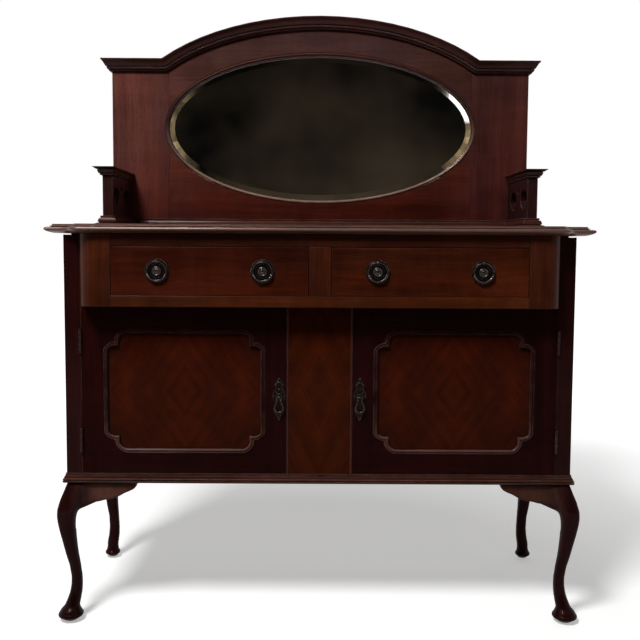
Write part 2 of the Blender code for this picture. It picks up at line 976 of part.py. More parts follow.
def build_pull(number, centre_x, centre_z, drawer):
    face_y = section_y - fit
    profile = [(r * plate_radius, h * plate_thickness) for r, h in rim_shares]
    profile += [(r * plate_boss_radius, h * plate_boss_height) for r, h in boss_shares]
    plate = add_object(
        f"pull_plate_{number}",
        turned(profile, centre_x, centre_z, face_y, plate_steps),
        bronze,
        drawer,
        smooth=True,
    )
    hang_z = centre_z + ring_radius
    hang_y = face_y - ring_level
    knuckle = arc((hang_y, hang_z), lug_radius, -90, 90, lug_steps // 2)
    lug = [(face_y - plate_thickness / 4, hang_z - lug_radius)]
    lug += [(2 * hang_y - y, z) for y, z in knuckle]
    lug.append((face_y - plate_thickness / 4, hang_z + lug_radius))
    near, far = centre_x - lug_width / 2, centre_x + lug_width / 2
    join(plate, f"lug_{number}", prism(lug, near, far, "X"))
    hole = arc((hang_y, hang_z), ring_top_wire + pull_play, 0, 360, lug_steps)[:-1]
    cut(plate, f"lug_hole_{number}", prism(hole, near - overrun, far + overrun, "X"))
    pivot = axis_empty(f"pull_{number}_axis", (centre_x, hang_y, hang_z), drawer)
    path, radii = [], []
    for i in range(ring_steps):
        turn = 360 * i / ring_steps
        angle = math.radians(turn)
        path.append((centre_x + ring_radius * math.sin(angle), centre_z + ring_radius * math.cos(angle)))
        swell = (1 - math.cos(angle)) / 2
        radii.append(ring_top_wire + (ring_low_wire - ring_top_wire) * swell)
        if round(turn) in bead_turns:
            radii[-1] = ring_bead_wire
    ring = tube(path, radii, wire_sides, hang_y)
    add_object(f"pull_ring_{number}", ring, bronze, pivot, smooth=True)


def build_drawer(label, side, first_pull):
    inner = drawer_inner + drawer_gap
    outer = drawer_outer - drawer_gap
    middle = side * (inner + outer) / 2
    low, high = drawer_floor_z + fit, drawer_head_z - drawer_gap
    axis = axis_empty(f"drawer_{label}_axis", (middle, section_y, low))
    x0, x1 = sorted((side * inner, side * outer))
    front = box((x0, section_y, low), (x1, section_y + board, high))
    add_object(f"drawer_{label}_front", front, panel_wood, axis)
    box_y = section_y + board + fit
    rear_y = back_board_y - drawer_rear_gap
    side_top = low + drawer_opening_height - drawer_side_drop
    shell = box((x0, box_y, low), (x1, rear_y, side_top))
    tray = add_object(f"drawer_{label}_box", shell, inside_wood, axis)
    hollow = box(
        (x0 + drawer_wall, box_y - overrun, low + drawer_bottom),
        (x1 - drawer_wall, rear_y - drawer_wall, side_top + overrun),
    )
    cut(tray, f"drawer_{label}_hollow", hollow)
    pull_z = (drawer_floor_z + drawer_head_z) / 2
    for step in (0, 1):
        pull_x = middle + (step * 2 - 1) * pull_spread / 2
        build_pull(first_pull + step, pull_x, pull_z, axis)


build_drawer("left", -1, 1)
build_drawer("right", 1, 3)

# Doors: a frame with a shaped opening and a raised moulding, a panel behind, hinges and handle

door_gap = 0.0015
hinge_gap = 0.001
door_rise = 0.0025
door_clear = 0.0025
door_low = bottom_top_z + door_rise
door_high = section_z - door_clear
door_inner = centre_half + door_gap
door_outer = opening_half - hinge_gap
moulding_inner_margin = 0.0540
moulding_outer_margin = 0.0565
moulding_low_margin = 0.0509
moulding_high_margin = 0.0567
moulding_width = 0.012
moulding_stand = 0.005
panel_setback = 0.003
panel_thickness = 0.008
upper_curve_width = 0.028
upper_curve_height = 0.021
curve_step = 0.005
lower_curve_width = 0.029
lower_curve_height = 0.028
corner_arc_steps = 5
curve_flatness_share = 1.25
# across the moulding from its outer edge, and how far it stands from the frame
door_moulding_shares = (
    (0.00, -0.30),
    (0.04, 0.30),
    (0.22, 0.62),
    (0.42, 0.30),
    (0.55, 0.85),
    (0.74, 1.00),
    (0.94, 0.60),
    (0.97, -0.30),
)


def corner_bends():
    """Shares across and along for a quarter turn a little flatter than a circle's."""
    turns = [math.pi / 2 * i / corner_arc_steps for i in range(corner_arc_steps + 1)]
    return [
        (abs(math.cos(turn)) ** curve_flatness_share, math.sin(turn) ** curve_flatness_share)
        for turn in turns
    ]


def door_corner(shrink):
    """One corner of the shaped outline, as steps in from the corner: two curves and a step."""
    foot = lower_curve_height + curve_step
    bends = corner_bends()
    points = []
    for side, rise in bends:
        across = upper_curve_width - (upper_curve_width - shrink) * side
        up = foot + upper_curve_height - (upper_curve_height - shrink) * rise
        points.append((across, up))
    points.append((upper_curve_width + shrink, foot + shrink))
    for side, rise in bends:
        across = lower_curve_width - (lower_curve_width - shrink) * side
        up = lower_curve_height - (lower_curve_height - shrink) * rise
        points.append((upper_curve_width + across, up))
    return points


def shaped_outline(shrink):
    """The door panel's outline on the right door, shrunk by a width."""
    x0, x1 = door_inner + moulding_inner_margin, door_outer - moulding_outer_margin
    z0, z1 = door_low + moulding_low_margin, door_high - moulding_high_margin
    corner = door_corner(shrink)
    outline = [(x0 + a, z0 + b) for a, b in corner]
    outline += [(x1 - a, z0 + b) for a, b in reversed(corner)]
    outline += [(x1 - a, z1 - b) for a, b in corner]
    outline += [(x0 + a, z1 - b) for a, b in reversed(corner)]
    return outline


hinge_length = 0.060
hinge_radius = 0.004
hinge_pin_radius = 0.0015
hinge_pin_gap = 0.0003
leaf_thickness = 0.0015
hinge_leaf_margin = 0.003
leaf_reach = board - hinge_leaf_margin
hinge_low_rise = 0.0545
hinge_high_fall = 0.0575
knuckle_gap = 0.0003
hinge_sides = 12
leaf_start = hinge_gap / 2 + fit
mortise_reach = leaf_start + leaf_thickness + fit
pin_x = opening_half - hinge_gap / 2
pin_y = case_y - hinge_radius - fit


def hinge_levels():
    low = door_low + hinge_low_rise
    high = door_high - hinge_high_fall - hinge_length
    return (("low", low), ("high", high))


def build_hinge(label, side, level, low, door_axis):
    top = low + hinge_length
    third = hinge_length / 3
    first_cut, second_cut = low + third, low + 2 * third
    for kind, toward, parent in (("case", 1, None), ("door", -1, door_axis)):
        x0, x1 = sorted((
            side * (pin_x + toward * leaf_start),
            side * (pin_x + toward * (leaf_start + leaf_thickness)),
        ))
        leaf = box((x0, case_y + fit, low), (x1, case_y + leaf_reach, top))
        name = f"hinge_{label}_{level}_{kind}"
        half = add_object(name, leaf, brass, parent)
        if kind == "case":
            spans = ((low, first_cut), (second_cut, top))
        else:
            spans = ((first_cut + knuckle_gap, second_cut - knuckle_gap),)
        for number, (span_low, span_high) in enumerate(spans):
            barrel = arc((side * pin_x, pin_y), hinge_radius, 0, 360, hinge_sides)[:-1]
            join(half, f"{name}_barrel_{number}", prism(barrel, span_low, span_high))
            tab = box((x0, pin_y, span_low), (x1, case_y + leaf_thickness, span_high))
            join(half, f"{name}_tab_{number}", tab)
        middle = (first_cut - overrun, second_cut + overrun)
        if kind == "case":
            pin = arc((side * pin_x, pin_y), hinge_pin_radius, 0, 360, hinge_sides)[:-1]
            join(half, name + "_pin", prism(pin, *middle))
        else:
            bore_radius = hinge_pin_radius + hinge_pin_gap
            bore = arc((side * pin_x, pin_y), bore_radius, 0, 360, hinge_sides)[:-1]
            cut(half, name + "_bore", prism(bore, *middle))


handle_width = 0.034
handle_height = 0.113
handle_thickness = 0.0025
handle_margin = 0.0025
handle_rise = 0.1365
handle_boss_radius = 0.0036
handle_boss_drop = 0.0515
handle_boss_wall = 0.0013
drop_width = 0.022
drop_height = 0.040
drop_top_wire = 0.0015
drop_low_wire = 0.0021
drop_play = 0.0006
drop_clearance = 0.0032
drop_level = handle_thickness + drop_clearance + drop_low_wire
handle_boss_length = drop_level + drop_top_wire + drop_play + handle_boss_wall
# up the plate, and its half width, as shares
handle_shares = (
    (0.00, 0.10),
    (0.04, 0.22),
    (0.08, 0.16),
    (0.13, 0.42),
    (0.20, 0.70),
    (0.27, 0.82),
    (0.34, 0.74),
    (0.40, 0.60),
    (0.47, 0.88),
    (0.55, 1.00),
    (0.63, 0.92),
    (0.70, 0.60),
    (0.75, 0.50),
    (0.81, 0.74),
    (0.87, 0.62),
    (0.92, 0.28),
    (0.95, 0.16),
    (0.98, 0.20),
    (1.00, 0.10),
)
# the drop's loop below its bar: across as a share of half its width, down as a share of its height
drop_shares = (
    (0.56, 0.24),
    (0.84, 0.42),
    (1.00, 0.60),
    (0.94, 0.78),
    (0.60, 0.94),
    (0.0, 1.00),
)


def build_handle(label, side, door_axis):
    centre_x = side * (door_inner + handle_margin + handle_width / 2)
    low = door_low + handle_rise
    face_y = case_y - fit
    half = [(share * handle_width / 2, low + up * handle_height) for up, share in handle_shares]
    outline = [(centre_x + a, z) for a, z in half] + [(centre_x - a, z) for a, z in reversed(half)]
    plate = add_object(
        f"door_{label}_plate",
        prism(outline, face_y - handle_thickness, face_y, "Y"),
        bronze,
        door_axis,
    )
    hang_z = low + handle_height - handle_boss_drop
    hang_y = face_y - drop_level
    round_shares = ((1.0, 0.1), (1.0, 0.9), (0.7, 1.0))
    profile = [(r * handle_boss_radius, h * handle_boss_length) for r, h in round_shares]
    join(plate, f"boss_{label}", turned(profile, centre_x, hang_z, face_y, hinge_sides))
    hole = arc((hang_y, hang_z), drop_top_wire + drop_play, 0, 360, lug_steps)[:-1]
    reach = handle_boss_radius + overrun
    cut(plate, f"boss_hole_{label}", prism(hole, centre_x - reach, centre_x + reach, "X"))
    pivot = axis_empty(f"door_{label}_drop_axis", (centre_x, hang_y, hang_z), door_axis)
    bar_half = handle_boss_radius + drop_play + drop_top_wire
    right = [(0, 0), (bar_half - drop_top_wire / 2, 0), (bar_half, drop_top_wire)]
    right += [(a * drop_width / 2, down * drop_height) for a, down in drop_shares]
    path = [(centre_x + a, hang_z - down) for a, down in right]
    path += [(centre_x - a, hang_z - down) for a, down in reversed(right[1:-1])]
    radii = []
    for _, z in path:
        share = (hang_z - z) / drop_height
        radii.append(drop_top_wire + (drop_low_wire - drop_top_wire) * share)
    drop = tube(path, radii, wire_sides, hang_y)
    add_object(f"door_{label}_drop", drop, bronze, pivot, smooth=True)


def build_door(label, side):
    axis = axis_empty(f"door_{label}_axis", (side * pin_x, pin_y, door_low))
    x0, x1 = sorted((side * door_inner, side * door_outer))
    slab = box((x0, case_y, door_low), (x1, case_y + board, door_high))
    frame = add_object(f"door_{label}_frame", slab, front_wood, axis)

    def outline(shrink):
        return [(side * x, z) for x, z in shaped_outline(shrink)]

    opening = prism(outline(moulding_width), case_y - overrun, case_y + board + overrun, "Y")
    cut(frame, f"door_{label}_opening", opening)
    low_x, high_x = door_inner + moulding_inner_margin, door_outer - moulding_outer_margin
    low_z, high_z = door_low + moulding_low_margin, door_high - moulding_high_margin
    left, right = sorted((side * low_x, side * high_x))
    panel_y = case_y + panel_setback
    rebate = box((left, panel_y, low_z), (right, case_y + board + overrun, high_z))
    cut(frame, f"door_{label}_rebate", rebate)
    panel = box(
        (left + fit, panel_y + fit, low_z + fit),
        (right - fit, panel_y + fit + panel_thickness, high_z - fit),
    )
    add_object(f"door_{label}_panel", panel, panel_wood, axis)
    sections = []
    for across, stand in door_moulding_shares:
        level = case_y - stand * moulding_stand
        sections.append([(x, level, z) for x, z in outline(across * moulding_width)])
    join(frame, f"door_{label}_moulding", loft(sections, closed=True))
    for level, low in hinge_levels():
        top = low + hinge_length
        for target, toward in ((frame, -1), (side_boards[side], 1)):
            edges = sorted((
                side * (pin_x + toward * mortise_reach),
                side * (pin_x - toward * overrun),
            ))
            slot = box(
                (edges[0], case_y - overrun, low - fit),
                (edges[1], case_y + leaf_reach + fit, top + fit),
            )
            cut(target, f"mortise_{target.name}_{level}", slot)
        build_hinge(label, side, level, low, axis)
    build_handle(label, side, axis)


build_door("left", -1)
build_door("right", 1)
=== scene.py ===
"""A mirrored sideboard in polished mahogany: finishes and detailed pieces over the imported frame."""

import json
import math

import bmesh
import bpy
from mathutils import Matrix, Vector


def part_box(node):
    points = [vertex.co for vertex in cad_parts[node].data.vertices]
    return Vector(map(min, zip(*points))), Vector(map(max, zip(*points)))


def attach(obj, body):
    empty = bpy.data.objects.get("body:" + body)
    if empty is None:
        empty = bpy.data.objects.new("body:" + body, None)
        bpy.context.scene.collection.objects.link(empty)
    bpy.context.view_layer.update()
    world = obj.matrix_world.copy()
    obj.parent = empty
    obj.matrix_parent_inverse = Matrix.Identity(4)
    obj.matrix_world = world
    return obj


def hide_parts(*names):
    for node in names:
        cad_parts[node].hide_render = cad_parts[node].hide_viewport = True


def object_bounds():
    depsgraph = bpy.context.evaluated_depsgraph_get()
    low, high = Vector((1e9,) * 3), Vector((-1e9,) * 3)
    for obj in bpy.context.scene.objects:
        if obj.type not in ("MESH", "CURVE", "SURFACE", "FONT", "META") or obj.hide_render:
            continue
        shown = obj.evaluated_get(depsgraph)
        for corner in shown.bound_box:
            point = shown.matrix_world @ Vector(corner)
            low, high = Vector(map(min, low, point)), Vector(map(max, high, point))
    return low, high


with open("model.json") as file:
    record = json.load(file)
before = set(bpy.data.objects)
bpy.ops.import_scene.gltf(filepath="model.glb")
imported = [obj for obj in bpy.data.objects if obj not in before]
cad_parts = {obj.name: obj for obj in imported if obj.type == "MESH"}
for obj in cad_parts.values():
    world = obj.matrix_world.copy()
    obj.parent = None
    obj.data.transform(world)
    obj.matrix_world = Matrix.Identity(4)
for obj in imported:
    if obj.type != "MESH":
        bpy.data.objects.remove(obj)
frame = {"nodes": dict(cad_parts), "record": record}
nodes = frame["nodes"]
cad_box = [list(corner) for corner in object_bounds()]

# Camera: place in metres, then degrees down, to the right and rolled

CAMERA_PLACE = (-0.0079, -2.2009, 0.9709)
CAMERA_TURNS = (3.996, 0.232, 0.3386)
CAMERA_LENS = 45.146
CAMERA_SHIFT = -0.02956


def aim_camera():
    """The photograph's viewpoint: a little to the left of the middle, looking slightly down."""
    pitch, yaw, roll = (math.radians(turn) for turn in CAMERA_TURNS)
    ahead = Vector((math.sin(yaw) * math.cos(pitch), math.cos(yaw) * math.cos(pitch), -math.sin(pitch)))
    right = Vector((math.cos(yaw), -math.sin(yaw), 0))
    up = right.cross(ahead)
    tilted_right = right * math.cos(roll) + up * math.sin(roll)
    tilted_up = up * math.cos(roll) - right * math.sin(roll)
    turned = Matrix((tilted_right, tilted_up, -ahead)).transposed()
    lens = bpy.data.cameras.new("camera")
    lens.sensor_width = 36
    lens.lens = CAMERA_LENS
    lens.shift_y = CAMERA_SHIFT
    lens.clip_end = 100
    camera = bpy.data.objects.new("camera", lens)
    camera.matrix_world = Matrix.Translation(CAMERA_PLACE) @ turned.to_4x4()
    bpy.context.scene.collection.objects.link(camera)
    bpy.context.scene.camera = camera


aim_camera()

# Node helpers


def new_group(name, inputs, outputs):
    """A shader node group with named sockets, and its two end nodes."""
    group = bpy.data.node_groups.new(name, "ShaderNodeTree")
    for label, kind, default in inputs:
        socket = group.interface.new_socket(label, in_out="INPUT", socket_type=kind)
        if default is not None:
            socket.default_value = default
    for label, kind in outputs:
        group.interface.new_socket(label, in_out="OUTPUT", socket_type=kind)
    return group, group.nodes.new("NodeGroupInput"), group.nodes.new("NodeGroupOutput")


def feed(tree, value, target):
    """Links an output to an input, or sets the input to a plain value."""
    if isinstance(value, bpy.types.NodeSocket):
        tree.links.new(value, target)
    else:
        target.default_value = value


def set_inputs(tree, node, **values):
    """Feeds a node's inputs by their names, with _ for a space."""
    for label, value in values.items():
        feed(tree, value, node.inputs[label.replace("_", " ")])


def math_node(tree, operation, first, second=0.0, third=0.0):
    node = tree.nodes.new("ShaderNodeMath")
    node.operation = operation
    for value, target in zip((first, second, third), node.inputs):
        feed(tree, value, target)
    return node.outputs[0]


def vector_node(tree, operation, first, second=(0, 0, 0), output="Vector"):
    node = tree.nodes.new("ShaderNodeVectorMath")
    node.operation = operation
    feed(tree, first, node.inputs[0])
    feed(tree, second, node.inputs[1])
    return node.outputs[output]


def range_node(tree, value, low, high, to_low=0.0, to_high=1.0):
    node = tree.nodes.new("ShaderNodeMapRange")
    set_inputs(tree, node, Value=value, From_Min=low, From_Max=high, To_Min=to_low, To_Max=to_high)
    return node.outputs[0]


def noise_node(tree, vector, scale, detail, roughness=0.5, distortion=0.0, output=0):
    node = tree.nodes.new("ShaderNodeTexNoise")
    set_inputs(
        tree, node, Vector=vector, Scale=scale, Detail=detail, Roughness=roughness, Distortion=distortion,
    )
    return node.outputs[output]


def mix_colour(tree, share, first, second, blend="MIX"):
    node = tree.nodes.new("ShaderNodeMix")
    node.data_type = "RGBA"
    node.blend_type = blend
    feed(tree, share, node.inputs[0])
    feed(tree, first, node.inputs[6])
    feed(tree, second, node.inputs[7])
    return node.outputs[2]


def mix_vector(tree, share, first, second):
    node = tree.nodes.new("ShaderNodeMix")
    node.data_type = "VECTOR"
    feed(tree, share, node.inputs[0])
    feed(tree, first, node.inputs[4])
    feed(tree, second, node.inputs[5])
    return node.outputs[1]


def mix_tones(tree, share, first, second):
    return [mix_colour(tree, share, one, two) for one, two in zip(first, second)]


def parts_of(tree, place, axes):
    """The named parts of a vector, such as "XZ"."""
    node = tree.nodes.new("ShaderNodeSeparateXYZ")
    tree.links.new(place, node.inputs[0])
    return [node.outputs[axis] for axis in axes]


def mapping_node(tree, vector, turn, offset):
    node = tree.nodes.new("ShaderNodeMapping")
    set_inputs(tree, node, Vector=vector, Rotation=turn, Location=offset)
    return node.outputs[0]


def group_node(tree, group, **values):
    node = tree.nodes.new("ShaderNodeGroup")
    node.node_tree = group
    set_inputs(tree, node, **values)
    return node


# Shared effects

COLOUR, VALUE, VECTOR = "NodeSocketColor", "NodeSocketFloat", "NodeSocketVector"
PORE = (0.006, 0.003, 0.003, 1)
# Dark colour for sheltered places: dust and patina, and painted shade in the wood's creases and under its
# overhangs
GRIME = (0.008, 0.005, 0.004, 1)
COOL_DRIFT = (0.84, 0.94, 1.16, 1)
WARM_DRIFT = (1.18, 0.98, 0.70, 1)


def grain_layer(group, place, stretch, detail, low, high, roughness=0.5, distortion=0.0):
    """Noise drawn out along the grain, spread to run from 0 to 1."""
    drawn = vector_node(group, "MULTIPLY", place, stretch)
    return range_node(group, noise_node(group, drawn, 1.0, detail, roughness, distortion), low, high)


def make_grain():
    """Mahogany grain along X: growth bands, fine streaks, open pores and a cross-grain ripple."""
    group, given, made = new_group(
        "mahogany_grain",
        [
            ("Vector", VECTOR, None),
            ("Dark", COLOUR, (0.02, 0.005, 0.004, 1)),
            ("Body", COLOUR, (0.06, 0.015, 0.01, 1)),
            ("Light", COLOUR, (0.12, 0.04, 0.02, 1)),
            ("Ripple", VALUE, 0.1),
            ("Figure", VALUE, 1.2),
        ],
        [("Color", COLOUR), ("Roughness", VALUE), ("Height", VALUE)],
    )
    place = given.outputs["Vector"]
    bend = noise_node(group, vector_node(group, "MULTIPLY", place, (1.2, 3.0, 3.0)), 2.0, 2.0, output="Color")
    sway = vector_node(group, "SUBTRACT", bend, (0.5, 0.5, 0.5))
    sway = vector_node(group, "MULTIPLY", sway, (0.0, 0.035, 0.035))
    swayed = vector_node(group, "ADD", place, sway)
    patch = range_node(group, noise_node(group, place, 4.5, 3.0, 0.55), 0.32, 0.68)
    band = grain_layer(group, swayed, (0.8, 24, 24), 3.0, 0.30, 0.70, 0.6)
    line = grain_layer(group, swayed, (3.0, 70, 70), 4.0, 0.30, 0.70, 0.7, 0.4)
    streak = grain_layer(group, swayed, (6, 210, 210), 3.0, 0.25, 0.75, 0.65)
    pore = grain_layer(group, swayed, (75, 1300, 1300), 1.0, 0.60, 0.70)
    ripple = grain_layer(group, swayed, (30, 7, 7), 2.0, 0.35, 0.65, 0.5, 0.6)
    warmth = grain_layer(group, swayed, (2.0, 9, 9), 3.0, 0.30, 0.70, 0.6)
    tone = math_node(group, "MULTIPLY", band, 0.28)
    for layer, share in ((line, 0.18), (streak, 0.24), (patch, 0.30)):
        tone = math_node(group, "MULTIPLY_ADD", layer, share, tone)
    shimmer = math_node(group, "SUBTRACT", ripple, 0.5)
    tone = math_node(group, "MULTIPLY_ADD", shimmer, given.outputs["Ripple"], tone)
    tone = math_node(group, "SUBTRACT", tone, 0.5)
    tone = math_node(group, "MULTIPLY_ADD", tone, given.outputs["Figure"], 0.5)
    lower = range_node(group, tone, 0.0, 0.5)
    upper = range_node(group, tone, 0.5, 1.0)
    colour = mix_colour(group, lower, given.outputs["Dark"], given.outputs["Body"])
    colour = mix_colour(group, upper, colour, given.outputs["Light"])
    drift = mix_colour(group, warmth, COOL_DRIFT, WARM_DRIFT)
    colour = mix_colour(group, 1.0, colour, drift, "MULTIPLY")
    pore_share = math_node(group, "MULTIPLY", pore, 0.55)
    colour = mix_colour(group, pore_share, colour, PORE)
    rough = math_node(group, "MULTIPLY_ADD", streak, 0.10, 0.33)
    rough = math_node(group, "MULTIPLY_ADD", patch, 0.08, rough)
    height = math_node(group, "MULTIPLY", pore, -0.6)
    height = math_node(group, "MULTIPLY_ADD", streak, 0.25, height)
    set_inputs(group, made, Color=colour, Roughness=rough, Height=height)
    return group


def make_wear():
    """Edges paler, partly wear and partly a painted highlight, and hollows darker, partly dust and patina and
    partly painted shade, from the rounded normal and the shelter of a place.
    """
    group, given, made = new_group(
        "edge_and_hollow",
        [
            ("Color", COLOUR, (0.05, 0.02, 0.01, 1)),
            ("Rubbed", COLOUR, (0.2, 0.1, 0.06, 1)),
            ("Amount", VALUE, 0.5),
            ("Grime", VALUE, 0.5),
            ("Edge", VALUE, 0.0012),
            ("Shelter", VALUE, 0.02),
        ],
        [("Color", COLOUR), ("Normal", VECTOR), ("Edge", VALUE)],
    )
    rounded = group.nodes.new("ShaderNodeBevel")
    rounded.samples = 4
    group.links.new(given.outputs["Edge"], rounded.inputs["Radius"])
    surface = group.nodes.new("ShaderNodeNewGeometry").outputs["Normal"]
    agree = vector_node(group, "DOT_PRODUCT", rounded.outputs[0], surface, "Value")
    edge = range_node(group, agree, 0.985, 0.80)
    place = group.nodes.new("ShaderNodeTexCoord").outputs["Object"]
    patchy = noise_node(group, place, 30.0, 3.0, 0.6)
    # The paler edge colour is partly wear and partly a painted highlight along the mouldings' arrises
    rubbed = math_node(group, "MULTIPLY", edge, range_node(group, patchy, 0.28, 0.56))
    share = math_node(group, "MULTIPLY", rubbed, given.outputs["Amount"])
    colour = mix_colour(group, share, given.outputs["Color"], given.outputs["Rubbed"])
    shelter = group.nodes.new("ShaderNodeAmbientOcclusion")
    shelter.samples = 4
    group.links.new(given.outputs["Shelter"], shelter.inputs["Distance"])
    # Sheltered places darken: dust and patina, and painted shade in creases and under overhangs
    hollow = range_node(group, shelter.outputs["AO"], 0.75, 0.25)
    dark = math_node(group, "MULTIPLY", hollow, given.outputs["Grime"])
    colour = mix_colour(group, dark, colour, GRIME)
    set_inputs(group, made, Color=colour, Normal=rounded.outputs[0], Edge=rubbed)
    return group


grain = make_grain()
wear = make_wear()

# Materials


def start_material(name):
    material = bpy.data.materials.new(name)
    material.use_nodes = True
    tree = material.node_tree
    place = tree.nodes.new("ShaderNodeTexCoord").outputs["Object"]
    return material, tree, tree.nodes["Principled BSDF"], place


def bump_node(tree, height, normal, strength, distance):
    """Fine bump from a height, laid over the rounded edges' normal."""
    node = tree.nodes.new("ShaderNodeBump")
    set_inputs(tree, node, Height=height, Normal=normal, Strength=strength, Distance=distance)
    return node.outputs[0]


def turned_place(tree, place, along, offset):
    """The place with the grain's own axis brought to X."""
    turn = {"X": (0, 0, 0), "Y": (0, 0, -math.pi / 2), "Z": (0, math.pi / 2, 0)}[along]
    return mapping_node(tree, place, turn, offset)


def finish_wood(tree, shader, vector, wood_tones, ripple=0.1, rubbed=(0.16, 0.08, 0.06, 1), amount=0.5,
                grime=0.5, coat=0.08, gloss=0.10, figure=1.8, edge=0.0014, shelter=0.02, shine=0.25,
                tint=(1.0, 0.45, 0.32, 1)):
    """Grain, wear and French polish into the shader, with edges paler, partly wear and partly painted
    highlight, and hollows darker, partly dust and partly painted shade; the polish is thickest on the paler
    edges.
    """
    dark, body, light = wood_tones
    wood = group_node(
        tree, grain, Vector=vector, Dark=dark, Body=body, Light=light, Ripple=ripple, Figure=figure,
    )
    worn = group_node(
        tree, wear, Color=wood.outputs["Color"], Rubbed=rubbed, Amount=amount, Grime=grime, Edge=edge,
        Shelter=shelter,
    )
    set_inputs(
        tree, shader, Base_Color=worn.outputs["Color"], Roughness=wood.outputs["Roughness"],
        Normal=bump_node(tree, wood.outputs["Height"], worn.outputs["Normal"], 0.2, 0.0004),
        Specular_IOR_Level=gloss, Specular_Tint=tint, Coat_Roughness=0.12,
        Coat_Weight=math_node(tree, "MULTIPLY_ADD", worn.outputs["Edge"], shine, coat),
    )


def wood_material(name, wood_tones, along, offset, **values):
    material, tree, shader, place = start_material(name)
    finish_wood(tree, shader, turned_place(tree, place, along, offset), wood_tones, **values)
    return material


# Where one tone gives way to the next, in metres of the shared frame
CREST_TO_FOOT = (1.42, 1.08)
# Painted light: the gallery's tone brightens towards its left end and, less, towards its right end
LEFT_FADE = (-0.34, -0.56)
RIGHT_FADE = (0.36, 0.56)
EAR_ACROSS = (0.640, 0.562)
EAR_UP = (0.255, 0.315)
OVAL_TO_FOOT = (1.335, 1.235)
LEDGE_DOWN = (0.530, 0.475)
LEDGE_OUT = (-0.0006, -0.0018)


def gallery_wood(name, along, offset):
    """The gallery's boards: painted light at the left that thins towards the foot, a painted greyish sheen at
    the crest and a clear red along the foot.
    """
    material, tree, shader, place = start_material(name)
    x, z = parts_of(tree, place, "XZ")
    foot = range_node(tree, z, *CREST_TO_FOOT)
    left = range_node(tree, x, *LEFT_FADE)
    # Less painted light low on the left stile: a painted shadow of the bracket
    left = math_node(tree, "MULTIPLY", left, math_node(tree, "MULTIPLY_ADD", foot, -0.6, 1.0))
    right = range_node(tree, x, *RIGHT_FADE)
    shades = mix_tones(tree, foot, CREST, GALLERY_FOOT)
    shades = mix_tones(tree, left, shades, STILE_LEFT)
    shades = mix_tones(tree, math_node(tree, "MULTIPLY", right, 0.7), shades, STILE_RIGHT)
    finish_wood(tree, shader, turned_place(tree, place, along, offset), shades, coat=0.04)
    return material


def inside_wood():
    """The plain pale wood inside: grain along Y on the faces that look sideways, along X on the rest."""
    material, tree, shader, place = start_material("inside_wood")
    facing = parts_of(tree, tree.nodes.new("ShaderNodeTexCoord").outputs["Normal"], "X")[0]
    sideways = math_node(tree, "GREATER_THAN", math_node(tree, "ABSOLUTE", facing), 0.7)
    level = turned_place(tree, place, "X", (0.3, 0.2, 0.1))
    inwards = turned_place(tree, place, "Y", (0.6, 0.2, 0.5))
    grain_place = mix_vector(tree, sideways, level, inwards)
    finish_wood(tree, shader, grain_place, INSIDE, coat=0.0, amount=0.2, figure=1.4)
    return material


def leg_wood():
    """The legs' dark wood, and the lighter ears that run in from them under the case."""
    material, tree, shader, place = start_material("leg_mahogany")
    x, z = parts_of(tree, place, "XZ")
    ear = range_node(tree, math_node(tree, "ABSOLUTE", x), *EAR_ACROSS)
    high = range_node(tree, z, *EAR_UP)
    shades = mix_tones(tree, math_node(tree, "MULTIPLY", ear, high), DEEP, EAR)
    finish_wood(tree, shader, turned_place(tree, place, "Z", (0.6, 0.5, 0.4)), shades, coat=0.04, gloss=0.05)
    return material


def oval_wood():
    """The bead round the mirror: painted shade above and a painted highlight below, where the light from
    above falls.
    """
    material, tree, shader, place = start_material("oval_bead_mahogany")
    low = range_node(tree, parts_of(tree, place, "Z")[0], *OVAL_TO_FOOT)
    # The cornice's dark tone above is painted shade, the pale tone below a painted highlight
    shades = mix_tones(tree, low, CORNICE, OVAL)
    coat = math_node(tree, "MULTIPLY", low, 0.30)
    finish_wood(tree, shader, turned_place(tree, place, "X", (0.3, 0.4, 0.9)), shades, coat=coat, gloss=0.2,
                grime=0.9, shelter=0.006, shine=0.0, rubbed=(0.10, 0.06, 0.05, 1))
    return material


def matched_veneer(name, wood_tones, centre, across, slope):
    """Four leaves of veneer matched round a centre, so that the grain makes nested diamonds."""
    material, tree, shader, place = start_material(name)
    centred = vector_node(tree, "SUBTRACT", place, (centre[0], 0, centre[1]))
    leaf = vector_node(tree, "ABSOLUTE", centred)
    sloped = mapping_node(tree, leaf, (0, -slope, 0), (0, 0, across))
    fine = vector_node(tree, "MULTIPLY", sloped, (1.0, 1.0, 2.3))
    finish_wood(tree, shader, fine, wood_tones, ripple=0.15, grime=0.6, amount=0.3, coat=0.02,
                gloss=0.03, figure=1.6)
    return material


def frame_wood(name, wood_tones, centre_x, stile_x, face_y):
    """A framed door: upright grain in the stiles, level in the rails, and a painted highlight along the
    moulding's bottom run.
    """
    material, tree, shader, place = start_material(name)
    x, y, z = parts_of(tree, place, "XYZ")
    reach = math_node(tree, "ABSOLUTE", math_node(tree, "SUBTRACT", x, centre_x))
    upright = math_node(tree, "GREATER_THAN", reach, stile_x)
    rail = turned_place(tree, place, "X", (0.31, 0.2, 0.7))
    stile = turned_place(tree, place, "Z", (0.17, 0.4, 0.1))
    grain_place = mix_vector(tree, upright, rail, stile)
    proud = range_node(tree, y, *(face_y + out for out in LEDGE_OUT))
    # Painted highlight: the bottom run of the moulding, which faces up to the light, turns pale pink
    ledge = math_node(tree, "MULTIPLY", proud, range_node(tree, z, *LEDGE_DOWN))
    shades = mix_tones(tree, ledge, wood_tones, LEDGE)
    coat = math_node(tree, "MULTIPLY_ADD", ledge, 0.012, 0.006)
    finish_wood(tree, shader, grain_place, shades, rubbed=(0.22, 0.115, 0.098, 1), amount=0.85,
                grime=0.9, coat=coat, gloss=0.03, edge=0.0016, shelter=0.006, shine=0.03)
    return material


